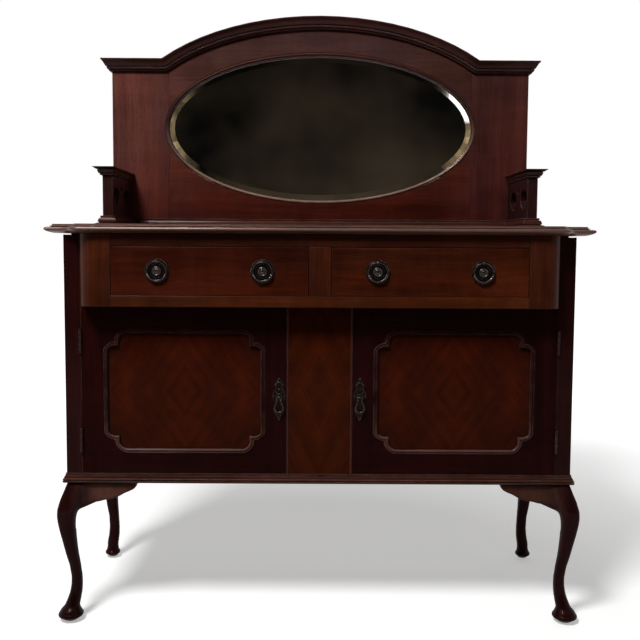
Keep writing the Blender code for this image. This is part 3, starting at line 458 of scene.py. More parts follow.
def metal_material(name, base, bright, dirt, roughness):
    """Cast metal gone dark, black in its hollows and worn bright on its high edges."""
    material, tree, shader, place = start_material(name)
    mottle = noise_node(tree, place, 260.0, 4.0, 0.6)
    stain = noise_node(tree, place, 70.0, 3.0, 0.6)
    colour = mix_colour(tree, range_node(tree, mottle, 0.35, 0.70), dirt, base)
    worn = group_node(
        tree, wear, Color=colour, Rubbed=bright, Amount=0.9, Grime=0.95, Edge=0.0008, Shelter=0.007,
    )
    rough = math_node(tree, "MULTIPLY_ADD", stain, 0.3, roughness - 0.15)
    rough = math_node(tree, "MULTIPLY_ADD", worn.outputs["Edge"], -0.12, rough)
    set_inputs(
        tree, shader, Base_Color=worn.outputs["Color"], Roughness=rough, Metallic=1.0,
        Normal=bump_node(tree, mottle, worn.outputs["Normal"], 0.35, 0.0003),
    )
    return material


HAZED = (0.74, 0.74, 0.71, 1)
SILVER = (0.84, 0.84, 0.82, 1)
FOXING = (0.12, 0.10, 0.08, 1)


def mirror_material():
    """Old silvered glass, faintly hazed and foxed near its edge."""
    material, tree, shader, place = start_material("mirror_silver")
    haze = noise_node(tree, place, 6.0, 4.0, 0.6)
    specks = noise_node(tree, place, 140.0, 2.0, 0.5)
    speck = range_node(tree, specks, 0.78, 0.84)
    colour = mix_colour(tree, range_node(tree, haze, 0.3, 0.7), HAZED, SILVER)
    colour = mix_colour(tree, math_node(tree, "MULTIPLY", speck, 0.5), colour, FOXING)
    rough = range_node(tree, haze, 0.3, 0.7, 0.015, 0.05)
    rough = math_node(tree, "MULTIPLY_ADD", speck, 0.3, rough)
    set_inputs(tree, shader, Base_Color=colour, Roughness=rough, Metallic=1.0)
    return material


def tones(red, green, blue, dark=0.42, light=1.75):
    """Dark, body and light tones round one colour."""
    return tuple((red * k, green * k, blue * k, 1) for k in (dark, 1.0, light))


DEEP = tones(0.0115, 0.0019, 0.0021)
# Lit copies of the gallery's tone, painted light falling from the left; the crest's greyish tone is a painted
# sheen
STILE_LEFT = tones(0.090, 0.029, 0.024, 0.60, 1.45)
STILE_RIGHT = tones(0.060, 0.0160, 0.0150, 0.60, 1.5)
CREST = tones(0.041, 0.0180, 0.0160, 0.62, 1.45)
GALLERY_FOOT = tones(0.041, 0.0062, 0.0036, 0.55, 1.6)
CORNICE = tones(0.031, 0.0110, 0.0105, 0.5, 1.7)
BRACKET = tones(0.0150, 0.0046, 0.0042, 0.5, 1.7)
TOP = tones(0.056, 0.022, 0.016, 0.6, 1.5)
BASE = tones(0.032, 0.0085, 0.0060, 0.55, 1.6)
WARM = tones(0.056, 0.0140, 0.0050, 0.5, 1.7)
# Pale tone of the painted highlight on the mirror bead's lower half
OVAL = tones(0.110, 0.068, 0.056, 0.6, 1.5)
END = tones(0.044, 0.0108, 0.0050, 0.5, 1.7)
# Half the rails' warm tone: painted shadow under the top's overhang
UNDER = tones(0.028, 0.0066, 0.0028, 0.5, 1.7)
# Pale pink tone of the painted highlight on the doors' lower mouldings
LEDGE = tones(0.075, 0.036, 0.030, 0.6, 1.5)
DRAWER_LEFT = tones(0.034, 0.0062, 0.0027, 0.5, 1.65)
# The right drawer's tone is lifted: painted light that makes up for the lamp at the left lighting it less
DRAWER_RIGHT = tones(0.045, 0.0090, 0.0032, 0.5, 1.65)
PANEL = tones(0.034, 0.0048, 0.0011, 0.5, 1.7)
CENTRE = tones(0.038, 0.0062, 0.0010, 0.5, 1.7)
EAR = tones(0.070, 0.027, 0.018, 0.55, 1.6)
INSIDE = tones(0.180, 0.090, 0.045, 0.45, 1.55)

# A low polish, and places in the grain that several finishes start from
QUIET = {"coat": 0.03, "gloss": 0.05}
RAIL_START = (0.7, 0.1, 0.2)
RUN_START = (0.5, 0.8, 0.3)
POST_START = (0.3, 0.3, 0.8)
FRONT_START = (0.2, 0.6, 0.3)

finishes = {
    "case": wood_material("case_mahogany", DEEP, "Z", (0.2, 0.3, 0.1), **QUIET),
    "rail": wood_material("rail_mahogany", WARM, "X", RAIL_START, **QUIET),
    # The upper rail gets a darker tone and deep hollow darkening: painted shadow under the top's overhang
    "under": wood_material("upper_rail_mahogany", UNDER, "X", RAIL_START, grime=1.0, shelter=0.045, **QUIET),
    "end": wood_material("end_mahogany", END, "Z", (0.1, 0.9, 0.2), coat=0.03, gloss=0.06),
    "top": wood_material("top_mahogany", TOP, "X", (0.4, 0.2, 0.6), coat=0.06, gloss=0.5,
                         tint=(1.0, 0.62, 0.52, 1), rubbed=(0.20, 0.12, 0.10, 1), amount=0.6,
                         edge=0.0016, shelter=0.008, grime=0.95, shine=0.15),
    "base": wood_material("base_mahogany", BASE, "X", (0.9, 0.5, 0.6), coat=0.06, grime=0.95,
                          rubbed=(0.19, 0.11, 0.085, 1), amount=0.8, edge=0.0020, shelter=0.008),
    "leg": leg_wood(),
    "upright": gallery_wood("gallery_stile_mahogany", "Z", POST_START),
    "level": gallery_wood("gallery_rail_mahogany", "X", RUN_START),
    "bead": wood_material("bead_mahogany", BASE, "Z", (0.1, 0.7, 0.3), coat=0.12),
    "oval": oval_wood(),
    "cornice": wood_material("cornice_mahogany", CORNICE, "X", RUN_START, coat=0.06, grime=0.95,
                             rubbed=(0.32, 0.24, 0.235, 1), amount=0.95, edge=0.0014, shelter=0.008),
    "bracket": wood_material("bracket_mahogany", BRACKET, "Z", POST_START, coat=0.12, grime=0.9,
                             rubbed=(0.22, 0.15, 0.13, 1), amount=0.9, edge=0.0018, shelter=0.010),
    "plinth": wood_material("plinth_mahogany", BASE, "X", RUN_START, coat=0.05, gloss=0.06, grime=0.9,
                            rubbed=(0.20, 0.13, 0.11, 1), amount=0.9, edge=0.0018, shelter=0.008),
    "drawer_left": wood_material("drawer_veneer_left", DRAWER_LEFT, "X", FRONT_START, figure=2.0, **QUIET),
    "drawer_right": wood_material("drawer_veneer_right", DRAWER_RIGHT, "X", FRONT_START, figure=2.0, **QUIET),
    "inside": inside_wood(),
    "bronze": metal_material("dark_bronze", (0.018, 0.009, 0.007, 1), (0.16, 0.12, 0.10, 1),
                             (0.006, 0.003, 0.003, 1), 0.42),
    "worn_bronze": metal_material("worn_bronze", (0.060, 0.053, 0.050, 1), (0.50, 0.45, 0.42, 1),
                                  (0.014, 0.011, 0.010, 1), 0.26),
    "brass": metal_material("old_brass", (0.035, 0.016, 0.013, 1), (0.28, 0.19, 0.15, 1),
                            (0.010, 0.004, 0.004, 1), 0.50),
    "mirror": mirror_material(),
}


def middle_of(name):
    low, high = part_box(name)
    return (low + high) / 2


# Where a door's stiles begin, out from its middle, and the middle and slope of each veneer's diamonds
STILE_INNER = 0.205
CENTRE_MIDDLE = (0.0, 0.600)
DOOR_SLOPE, CENTRE_SLOPE = math.radians(56), math.radians(64)
case_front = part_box("side_left")[0].y

for label in ("left", "right"):
    middle = middle_of(f"door_{label}_frame")
    finishes["frame_" + label] = frame_wood(f"door_frame_{label}", DEEP, middle.x, STILE_INNER, case_front)
    middle = middle_of(f"door_{label}_panel")
    finishes["panel_" + label] = matched_veneer(
        f"door_veneer_{label}", PANEL, (middle.x, middle.z), 0.3, DOOR_SLOPE,
    )
finishes["centre"] = matched_veneer("centre_veneer", CENTRE, CENTRE_MIDDLE, 0.7, CENTRE_SLOPE)

# Which solids have each finish, by the start of their names; the first that fits holds

CARRIED = {
    "case": ("side_",),
    "inside": ("bottom_board", "back_board", "centre_partition", "dust_board", "drawer_left_box",
               "drawer_right_box", "mirror_backboard"),
    "centre": ("centre_panel",),
    "rail": ("drawer_bottom_rail",),
    "under": ("drawer_top_rail",),
    "end": ("drawer_divider", "drawer_end_"),
    "drawer_left": ("drawer_left_front",),
    "drawer_right": ("drawer_right_front",),
    "top": ("top_board",),
    "base": ("base_moulding",),
    "leg": ("leg_",),
    "upright": ("gallery_stile_",),
    "level": ("gallery_",),
    "oval": ("mirror_bead",),
    "mirror": ("mirror_glass",),
    "cornice": ("cornice",),
    "bracket": ("bracket_",),
    "plinth": ("plinth_moulding",),
    "brass": ("hinge_",),
    "frame_left": ("door_left_frame",),
    "frame_right": ("door_right_frame",),
    "panel_left": ("door_left_panel",),
    "panel_right": ("door_right_panel",),
    "worn_bronze": ("pull_ring_", "door_left_drop", "door_right_drop"),
    "bronze": ("pull_", "door_"),
}


def key_of(name):
    return next(key for key, starts in CARRIED.items() if name.startswith(starts))


def finish_of(name):
    return finishes[key_of(name)]


body_of = {
    node: body
    for body, members in frame["record"]["behaviour"]["bodies"].items()
    for node in members
}
SLOTS = {
    "panel_wood": ("drawer_left", "drawer_right", "centre", "panel_left", "panel_right"),
    "gallery_wood": ("upright", "level", "cornice", "bracket", "plinth", "oval"),
    "inside_wood": ("inside",),
    "mirror": ("mirror",),
    "bronze": ("bronze", "worn_bronze"),
    "brass": ("brass",),
}


def slot_of(name):
    key = key_of(name)
    return next((slot for slot, keys in SLOTS.items() if key in keys), "front_wood")


for name, node in nodes.items():
    node.data.materials.clear()
    node.data.materials.append(finish_of(name))

# Pieces: corners closer than JOIN are one in a carried-over solid; WELD is for new pieces

JOIN = 0.000002
WELD = 0.00001
SHARP = 32


def joined_copy(name):
    """A bmesh of a carried-over solid with its corners joined."""
    builder = bmesh.new()
    builder.from_mesh(nodes[name].data)
    bmesh.ops.remove_doubles(builder, verts=builder.verts, dist=JOIN)
    return builder


def plain_object(name, builder, *materials):
    mesh = bpy.data.meshes.new(name)
    builder.to_mesh(mesh)
    builder.free()
    for material in materials:
        mesh.materials.append(material)
    made = bpy.data.objects.new(name, mesh)
    bpy.context.scene.collection.objects.link(made)
    return made


def add_piece(name, builder, body, slot, smooth, *materials):
    """A piece on a body, shaded smooth except where faces meet more sharply than given in degrees."""
    piece = plain_object(name, builder, *materials)
    piece.data.shade_smooth()
    piece.data.set_sharp_from_angle(angle=math.radians(smooth))
    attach(piece, body)
    return piece


def stand_in(label, name, builder, smooth, *more):
    """A detailed piece in a carried-over solid's place, with its finish and body."""
    piece = add_piece(label, builder, body_of[name], slot_of(name), smooth, finish_of(name), *more)
    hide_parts(name)
    return piece


def bevel_modifier(piece, width):
    bevel = piece.modifiers.new("eased edges", "BEVEL")
    bevel.width = width
    bevel.segments = 2
    bevel.limit_method = "ANGLE"
    bevel.angle_limit = math.radians(SHARP)
    flat = piece.modifiers.new("flat faces", "WEIGHTED_NORMAL")
    flat.keep_sharp = True
    flat.weight = 100


# Height above the solid's foot, width and depth of each groove in a moulding
LEVEL_GROOVES = {
    "base_moulding": ((0.0066, 0.0023, 0.0040), (0.0192, 0.0021, 0.0022)),
    "plinth_moulding": ((0.0090, 0.0020, 0.0030), (0.0212, 0.0018, 0.0024)),
    "bracket_cap_left": ((0.0062, 0.0018, 0.0024), (0.0172, 0.0018, 0.0024)),
    "bracket_cap_right": ((0.0062, 0.0018, 0.0024), (0.0172, 0.0018, 0.0024)),
    "top_board": ((0.0160, 0.0022, 0.0060),),
}
# Nearer and farther edge, out from the gallery's faces, and depth
CORNICE_GROOVES = ((0.0142, 0.0161, 0.0035), (0.0083, 0.0119, 0.0020))
GROOVE_STOP = 0.004
END_SLACK, LEVEL_SLACK, CORNICE_SLACK = 0.0001, 0.00002, 0.0002
FLAT = math.radians(0.3)


def split(builder, place, across):
    """Cuts an edge line through the solid where a plane crosses it."""
    everything = builder.verts[:] + builder.edges[:] + builder.faces[:]
    bmesh.ops.bisect_plane(builder, geom=everything, plane_co=place, plane_no=across, dist=0.000005)


def cut_groove(builder, strip, depth):
    """Sends a strip of a moulding's faces straight back, square to its run, as a groove."""
    inward = {}
    members = set(strip)
    for vert in {vert for face in strip for vert in face.verts}:
        facing = [
            Vector((face.normal.x, face.normal.y, 0)).normalized()
            for face in vert.link_faces if face in members and abs(face.normal.z) < 0.995
        ]
        if facing:
            middle = sum(facing, Vector()).normalized()
            inward[vert.co.to_tuple(6)] = -middle * depth / max(0.5, middle.dot(facing[0]))
    moved = bmesh.ops.extrude_face_region(builder, geom=strip)["geom"]
    bmesh.ops.delete(builder, geom=[face for face in strip if face.is_valid], context="FACES")
    loose = [edge for edge in builder.edges if not edge.link_faces]
    bmesh.ops.delete(builder, geom=loose, context="EDGES")
    for vert in moved:
        if isinstance(vert, bmesh.types.BMVert):
            vert.co += inward.get(vert.co.to_tuple(6), Vector())


def moulding_strip(builder, inside, back):
    """The faces of one strip of a moulding, stopping short of its back."""
    end = back - GROOVE_STOP
    split(builder, (0, end, 0), (0, 1, 0))
    builder.normal_update()
    return [
        face for face in builder.faces
        if all(inside(vert) and vert.co.y < end + END_SLACK for vert in face.verts)
    ]


def level_groove(builder, middle, width, depth, back):
    """A groove at one height, all round the upright faces of a moulding."""
    low, high = middle - width / 2, middle + width / 2
    for edge in (low, high):
        split(builder, (0, 0, edge), (0, 0, 1))
    strip = moulding_strip(builder, lambda vert: low - LEVEL_SLACK < vert.co.z < high + LEVEL_SLACK, back)
    cut_groove(builder, strip, depth)


def cornice_groove(builder, inner, outer, depth, back):
    """A groove along the cornice, between two distances from the gallery."""
    low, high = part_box("gallery_stile_right")

    def inside(vert):
        stand = max(low.y - vert.co.y, abs(vert.co.x) - high.x)
        return inner - CORNICE_SLACK < stand < outer + CORNICE_SLACK

    cut_groove(builder, moulding_strip(builder, inside, back), depth)


def ease_edges(name, width):
    """The solid again with flat faces whole, grooves cut, corners eased and curves shaded smooth."""
    low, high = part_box(name)
    builder = joined_copy(name)
    bmesh.ops.dissolve_limit(builder, angle_limit=FLAT, verts=builder.verts, edges=builder.edges)
    for middle, groove_width, depth in LEVEL_GROOVES.get(name, ()):
        level_groove(builder, low.z + middle, groove_width, depth, high.y)
    if name == "cornice":
        for inner, outer, depth in CORNICE_GROOVES:
            cornice_groove(builder, inner, outer, depth, high.y)
    bevel_modifier(stand_in(name + "_eased", name, builder, SHARP), width)


def round_section(distance, radius, sides):
    """The closed section of a round wire at a distance from an axis, for turn_profile."""
    turns = [math.tau * i / sides for i in range(sides + 1)]
    return [(distance + radius * math.cos(turn), radius * math.sin(turn)) for turn in turns]


def turn_profile(builder, profile, centre, axis, steps=56, start=0.0, sweep=math.tau):
    """Turns a profile of (radius, out) points about an axis through a centre."""
    across = Vector((0, 0, 1)) if axis.y else Vector((0, -1, 0))
    across = Matrix.Rotation(start, 3, axis) @ across
    points = [builder.verts.new(centre + across * radius + axis * out) for radius, out in profile]
    edges = [builder.edges.new(pair) for pair in zip(points, points[1:])]
    bmesh.ops.spin(
        builder, geom=points + edges, cent=centre, axis=axis, angle=sweep, steps=steps,
        use_merge=sweep >= math.tau, use_duplicate=False,
    )


# Heights and distances from the middle on a leg, and how far legs stay inside the frame's box
FOOT_BAND = (0.004, 0.030)
RIDGE_RADIUS, RIDGE_SUNK, RIDGE_UP = 0.0060, 0.0020, 0.0165
LEG_VOXEL = 0.0022
EAR_ROOT_ACROSS = (0.566, 0.640)
EAR_ROOT_UP = (0.235, 0.352)
PAD_TOP = 0.040
LEAST_GAP = 0.0001


def within(value, span):
    return span[0] < value < span[1]


def foot_ridge(builder):
    """A rounded ridge round the widest part of the foot's pad."""
    band = [v.co for v in builder.verts if within(v.co.z, FOOT_BAND)]
    near = Vector([min(co[i] for co in band) for i in range(3)])
    far = Vector([max(co[i] for co in band) for i in range(3)])
    middle, half = (near + far) / 2, (far - near) / 2
    profile = [(1 + (across - RIDGE_SUNK) / half.x, up) for across, up in round_section(0, RIDGE_RADIUS, 12)]
    before = set(builder.verts)
    turn_profile(builder, profile, Vector((0, 0, 0)), Vector((0, 0, 1)), steps=48)
    ridge = [v for v in builder.verts if v not in before]
    bmesh.ops.scale(builder, verts=ridge, vec=(half.x, half.y, 1))
    bmesh.ops.translate(builder, verts=ridge, vec=(middle.x, middle.y, RIDGE_UP))
    bmesh.ops.remove_doubles(builder, verts=ridge, dist=WELD)


def one_skin(name, builder):
    """Remeshes everything in the builder into one closed skin."""
    blank = plain_object(name + "_blank", builder.copy())
    skin = blank.modifiers.new("one skin", "REMESH")
    skin.mode = "VOXEL"
    skin.voxel_size = LEG_VOXEL
    graph = bpy.context.evaluated_depsgraph_get()
    skinned = bpy.data.meshes.new_from_object(blank.evaluated_get(graph))
    builder.clear()
    builder.from_mesh(skinned)
    rough = blank.data
    bpy.data.objects.remove(blank)
    for mesh in (rough, skinned):
        bpy.data.meshes.remove(mesh)


def shape_leg(name):
    """A leg and its ears as one carved piece, with every junction flowing into the next."""
    builder = joined_copy(name)
    foot_ridge(builder)
    one_skin(name, builder)
    root = [v for v in builder.verts if within(v.co.z, EAR_ROOT_UP) and within(abs(v.co.x), EAR_ROOT_ACROSS)]
    above = [v for v in builder.verts if v.co.z > PAD_TOP]
    for verts, times in ((builder.verts, 2), (above, 10), (root, 60)):
        for _ in range(times):
            bmesh.ops.smooth_vert(
                builder, verts=verts, factor=0.5, use_axis_x=True, use_axis_y=True, use_axis_z=True,
            )
    for vert in builder.verts:
        vert.co.y = min(vert.co.y, cad_box[1][1] - LEAST_GAP)
        vert.co.z = max(vert.co.z, 0.0)
    stand_in(name + "_carved", name, builder, 180)


# How far edges are eased, and the solids it holds for, by the start of their names
EASED = (
    (0.0008, ("top_board", "drawer_end_", "gallery_", "mirror_bead", "cornice", "base_moulding", "bracket_",
              "plinth_moulding")),
    (0.0013, ("drawer_left_front", "drawer_right_front", "drawer_bottom_rail", "drawer_top_rail",
              "drawer_divider")),
)

for name in sorted(nodes):
    if name.startswith("leg_"):
        shape_leg(name)
for name in sorted(nodes):
    for width, starts in EASED:
        if name.startswith(starts):
            ease_edges(name, width)

# Fittings: turned outlines are (distance from the axis, height off the wood), from the rim inwards

OUT = Vector((0, -1, 0))
ALONG = Vector((1, 0, 0))
ROSE = (
    (0.0300, 0.0001), (0.0300, 0.0012), (0.0293, 0.0019), (0.0276, 0.0019), (0.0268, 0.0027),
    (0.0258, 0.0030), (0.0248, 0.0026), (0.0243, 0.0014), (0.0215, 0.0011), (0.0190, 0.0012),
    (0.0183, 0.0017), (0.0176, 0.0017), (0.0170, 0.0011), (0.0136, 0.0010), (0.0127, 0.0016),
    (0.0121, 0.0030), (0.0118, 0.0050), (0.0110, 0.0062), (0.0096, 0.0067), (0.0083, 0.0062),
    (0.0077, 0.0055), (0.0071, 0.0055), (0.0065, 0.0064), (0.0050, 0.0077), (0.0028, 0.0083),
    (0.0, 0.0085),
)
ROSE_BEADS = 52
ROSE_BEAD = 0.00155
ROSE_BEAD_CIRCLE, ROSE_BEAD_OUT = 0.0285, 0.0018
ROSE_BOSS = 0.0108
ROSE_RELIEF = 0.0031
EYE = (
    (0.0025, -0.0026), (0.0038, -0.0026), (0.0043, -0.0020), (0.0043, 0.0020), (0.0038, 0.0026),
    (0.0025, 0.0026), (0.0025, -0.0026),
)
NECK = (0.0044, 0.0030, 0.0064)
NECK_IN = 0.0045
RING_CIRCLE, RING_WIRE, RING_OUT = 0.0235, 0.0024, 0.0064
RING_THIN, RING_SWELL = 0.72, 0.44
# Degrees down from the top, radius and thickness along the wire of each part of a knop
RING_KNOPS = ((120, 0.0038, 1.0), (111, 0.0031, 0.45), (129, 0.0034, 0.45))


def seat_of(name):
    """The middle of a fitting's back, where it lies on the wood."""
    low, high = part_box(name)
    return Vector(((low.x + high.x) / 2, high.y, (low.z + high.z) / 2))


def close_up(builder):
    """Joins what a full turn leaves double and points every face outwards."""
    bmesh.ops.remove_doubles(builder, verts=builder.verts, dist=WELD)
    bmesh.ops.recalc_face_normals(builder, faces=builder.faces)


def bead(builder, place, radius, stretch=(1, 1, 1), detail=2):
    made = bmesh.ops.create_icosphere(builder, subdivisions=detail, radius=radius)
    bmesh.ops.scale(builder, verts=made["verts"], vec=stretch)
    bmesh.ops.translate(builder, verts=made["verts"], vec=place)
    return made["verts"]


def pull_rose(number):
    """A drawer pull's round plate: beaded rim, sunk ground, ringed boss and the eye for the ring."""
    name = f"pull_plate_{number}"
    centre = seat_of(name)
    builder = bmesh.new()
    turn_profile(builder, ROSE, centre, OUT)
    for i in range(ROSE_BEADS):
        turn = math.tau * i / ROSE_BEADS
        around = Vector((math.sin(turn), 0, math.cos(turn))) * ROSE_BEAD_CIRCLE
        bead(builder, centre + around + OUT * ROSE_BEAD_OUT, ROSE_BEAD)
    hang = centre + Vector((0, -RING_OUT, RING_CIRCLE))
    turn_profile(builder, EYE, hang, ALONG, steps=28)
    neck = bmesh.ops.create_cube(builder, size=1)["verts"]
    bmesh.ops.scale(builder, verts=neck, vec=NECK)
    bmesh.ops.translate(builder, verts=neck, vec=hang - OUT * NECK_IN)
    close_up(builder)
    # Paler bronze on the boss, worn, and on the high parts of the upper half, a painted highlight where light
    # falls from above
    for part in builder.faces:
        arm = part.calc_center_median() - centre
        on_boss = math.hypot(arm.x, arm.z) < ROSE_BOSS
        part.material_index = int(on_boss or (-arm.y > ROSE_RELIEF and arm.z > 0))
    stand_in(f"rose_{number}", name, builder, 40, finishes["worn_bronze"])


def pull_ring(number):
    """The ring that hangs on the plate: thin at the eye, thick below, with two collared knops."""
    centre = seat_of(f"pull_plate_{number}") + OUT * RING_OUT
    builder = bmesh.new()
    turn_profile(builder, round_section(RING_CIRCLE, RING_WIRE, 14), centre, OUT, steps=84)
    for vert in builder.verts:
        arm = vert.co - centre
        core = Vector((arm.x, 0, arm.z)).normalized() * RING_CIRCLE
        swell = RING_THIN + RING_SWELL * (1 - core.z / RING_CIRCLE) / 2
        vert.co = centre + core + (arm - core) * swell
    for side in (-1, 1):
        for turn, radius, along in RING_KNOPS:
            angle = math.radians(turn)
            spot = Vector((side * math.sin(angle), 0, math.cos(angle))) * RING_CIRCLE
            verts = bead(builder, (0, 0, 0), radius, (along, 1, 1), 3)
            bmesh.ops.rotate(builder, verts=verts, matrix=Matrix.Rotation(side * angle, 3, "Y"))
            bmesh.ops.translate(builder, verts=verts, vec=centre + spot)
    close_up(builder)
    stand_in(f"ring_{number}", f"pull_ring_{number}", builder, 50)


# Height above the solid's foot and half width of a door plate, from end to end
PLATE_EDGE = (
    (0.0030, 0.0024), (0.0050, 0.0036), (0.0085, 0.0034), (0.0145, 0.0072), (0.0226, 0.0119),
    (0.0305, 0.0139), (0.0384, 0.0126), (0.0452, 0.0104), (0.0531, 0.0148), (0.0621, 0.0168),
    (0.0712, 0.0154), (0.0791, 0.0104), (0.0848, 0.0086), (0.0915, 0.0124), (0.0983, 0.0104),
    (0.1040, 0.0050), (0.1075, 0.0030), (0.1100, 0.0026),
)
# How far in from the outline, and how far out from the door, each line round a door plate lies
PLATE_STEPS = ((0.0, 0.0), (0.0, 0.0014), (0.0007, 0.0022), (0.0013, 0.0022), (0.0019, 0.0010))
PLATE_LEAST = 0.0003
# Height and radius of each knop
PLATE_KNOPS = ((0.1075, 0.0029), (0.0810, 0.0026), (0.0032, 0.0024))
# Distance from the middle, height, radius and stretch upwards of each pair of studs
PLATE_STUDS = ((0.0062, 0.0725, 0.0017, 1), (0.0124, 0.0630, 0.0019, 1.6))
KNOP_OUT, STUD_OUT = 0.0022, 0.0018
ARCH_UP, ARCH_CIRCLE, ARCH_WIRE, ARCH_SWEEP = 0.0898, 0.0088, 0.0013, math.radians(136)
ARCH_END = (0.0084, 0.0026, 0.0021)
BEADING_UP, BEADING_CIRCLE, BEADING_OUT = 0.0300, 0.0126, 0.0020
BEADING_BEAD, BEADING_BEADS = 0.00115, 26
BEADING_START, BEADING_SWEEP = math.radians(28), math.radians(304)
BOSS_UP = 0.0615
DISH = (
    (0.0085, 0.0014), (0.0080, 0.0026), (0.0070, 0.0030), (0.0062, 0.0022), (0.0050, 0.0022),
    (0.0034, 0.0036), (0.0026, 0.0056),
)
COLLAR_CIRCLE, COLLAR_WIRE, COLLAR_OUT = 0.0068, 0.0017, 0.0034
BARREL_HALF, BARREL_BORE, BARREL_RADIUS, BARREL_OUT = 0.0030, 0.0019, 0.0040, 0.0078


def flowing(points, steps=4):
    """Points along a smooth line through the given ones."""
    points = [Vector(point) for point in points]
    line = []
    for i in range(len(points) - 1):
        before, start = points[max(i - 1, 0)], points[i]
        end, after = points[i + 1], points[min(i + 2, len(points) - 1)]
        for k in range(steps):
            t = k / steps
            line.append(
                0.5 * (2 * start + (end - before) * t + (2 * before - 5 * start + 4 * end - after) * t * t
                       + (3 * start - before - 3 * end + after) * t * t * t)
            )
    line.append(points[-1])
    return line


def barrel(builder, hang):
    """A bored bead on its side, for the drop's bar to hang in."""
    half, bore, radius = BARREL_HALF, BARREL_BORE, BARREL_RADIUS
    profile = [(bore, -half), (radius * 0.75, -half), (radius * 0.96, -half * 0.6), (radius, 0),
               (radius * 0.96, half * 0.6), (radius * 0.75, half), (bore, half), (bore, -half)]
    turn_profile(builder, profile, hang, ALONG, steps=28)


def plate_spot(label, across, out, up):
    """A place on a door plate, from the middle of its back at its foot."""
    low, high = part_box(f"door_{label}_plate")
    return Vector(((low.x + high.x) / 2 + across, high.y - out, low.z + up))


def cast_body(builder, label):
    """The plate itself: lines round it for edge, rim and ground, with faces straight across between."""
    half = flowing([(across, up) for up, across in PLATE_EDGE])
    rings = []
    for inset, rise in PLATE_STEPS:
        side = []
        for i, point in enumerate(half):
            ahead = (half[min(i + 1, len(half) - 1)] - half[max(i - 1, 0)]).normalized()
            across = max(point.x - ahead.y * inset, PLATE_LEAST)
            up = min(max(point.y + ahead.x * inset, half[0].y + inset), half[-1].y - inset)
            side.append((across, max(up, side[-1][1]) if side else up))
        ring = [builder.verts.new(plate_spot(label, across, rise, up)) for across, up in side]
        ring += [builder.verts.new(plate_spot(label, -across, rise, up)) for across, up in reversed(side)]
        rings.append(ring)
    for here, there in zip(rings, rings[1:]):
        for i in range(len(here)):
            builder.faces.new((here[i - 1], here[i], there[i], there[i - 1]))
    for ring in (rings[0], rings[-1]):
        for i in range(len(half) - 1):
            builder.faces.new((ring[i], ring[i + 1], ring[-i - 2], ring[-i - 1]))


def door_plate(label):
    """A cast door plate: raised rim, sunk ground, knops, an arched scroll, beading and the boss."""
    builder = bmesh.new()
    cast_body(builder, label)
    body = set(builder.faces)
    for up, radius in PLATE_KNOPS:
        bead(builder, plate_spot(label, 0, KNOP_OUT, up), radius, (1, 0.9, 1), 3)
    scroll = round_section(ARCH_CIRCLE, ARCH_WIRE, 10)
    arch = plate_spot(label, 0, KNOP_OUT, ARCH_UP)
    turn_profile(builder, scroll, arch, OUT, 24, -ARCH_SWEEP / 2, ARCH_SWEEP)
    for side in (-1, 1):
        across, up, radius = ARCH_END
        bead(builder, plate_spot(label, side * across, KNOP_OUT, ARCH_UP + up), radius, (1, 0.8, 1))
        for across, up, radius, tall in PLATE_STUDS:
            bead(builder, plate_spot(label, side * across, STUD_OUT, up), radius, (1, 0.8, tall))
    turn_profile(builder, DISH, plate_spot(label, 0, 0, BOSS_UP), OUT, 36)
    collar = round_section(COLLAR_CIRCLE, COLLAR_WIRE, 10)
    turn_profile(builder, collar, plate_spot(label, 0, COLLAR_OUT, BOSS_UP), OUT, 36)
    barrel(builder, plate_spot(label, 0, BARREL_OUT, BOSS_UP))
    for i in range(BEADING_BEADS):
        turn = BEADING_START + BEADING_SWEEP * i / (BEADING_BEADS - 1)
        across, up = math.sin(turn) * BEADING_CIRCLE, math.cos(turn) * BEADING_CIRCLE
        bead(builder, plate_spot(label, across, BEADING_OUT, BEADING_UP + up), BEADING_BEAD)
    for part in builder.faces:
        part.material_index = int(part not in body)
    close_up(builder)
    stand_in(f"cast_plate_{label}", f"door_{label}_plate", builder, 40, finishes["worn_bronze"])


# Right half of the drop's line, from the bar it hangs by
DROP_PATH = (
    (0.0, 0.0), (0.0040, 0.0), (0.0057, -0.0016), (0.0050, -0.0070), (0.0054, -0.0122), (0.0080, -0.0172),
    (0.0102, -0.0228), (0.0106, -0.0276), (0.0090, -0.0332), (0.0052, -0.0374), (0.0, -0.0388),
)
DROP_THIN, DROP_SWELL, DROP_FULL_DOWN = 0.0013, 0.0012, 0.034
# Distance from the middle, distance down and radius of each pair of knops
DROP_KNOPS = ((0.0051, 0.0072, 0.0022), (0.0094, 0.0322, 0.0028))


def wire_loop(builder, path, radii, sides=12):
    """A closed wire along a path in an upright plane: rings of points bridged one to the next."""
    rings = []
    for i, (spot, radius) in enumerate(zip(path, radii)):
        ahead = (path[(i + 1) % len(path)] - path[i - 1]).normalized()
        matrix = Matrix.Translation(spot) @ ahead.to_track_quat("Z", "Y").to_matrix().to_4x4()
        made = bmesh.ops.create_circle(builder, segments=sides, radius=radius, matrix=matrix)["verts"]
        rings.append(list({edge for vert in made for edge in vert.link_edges}))
    for here, there in zip(rings, rings[1:] + rings[:1]):
        bmesh.ops.bridge_loops(builder, edges=here + there)


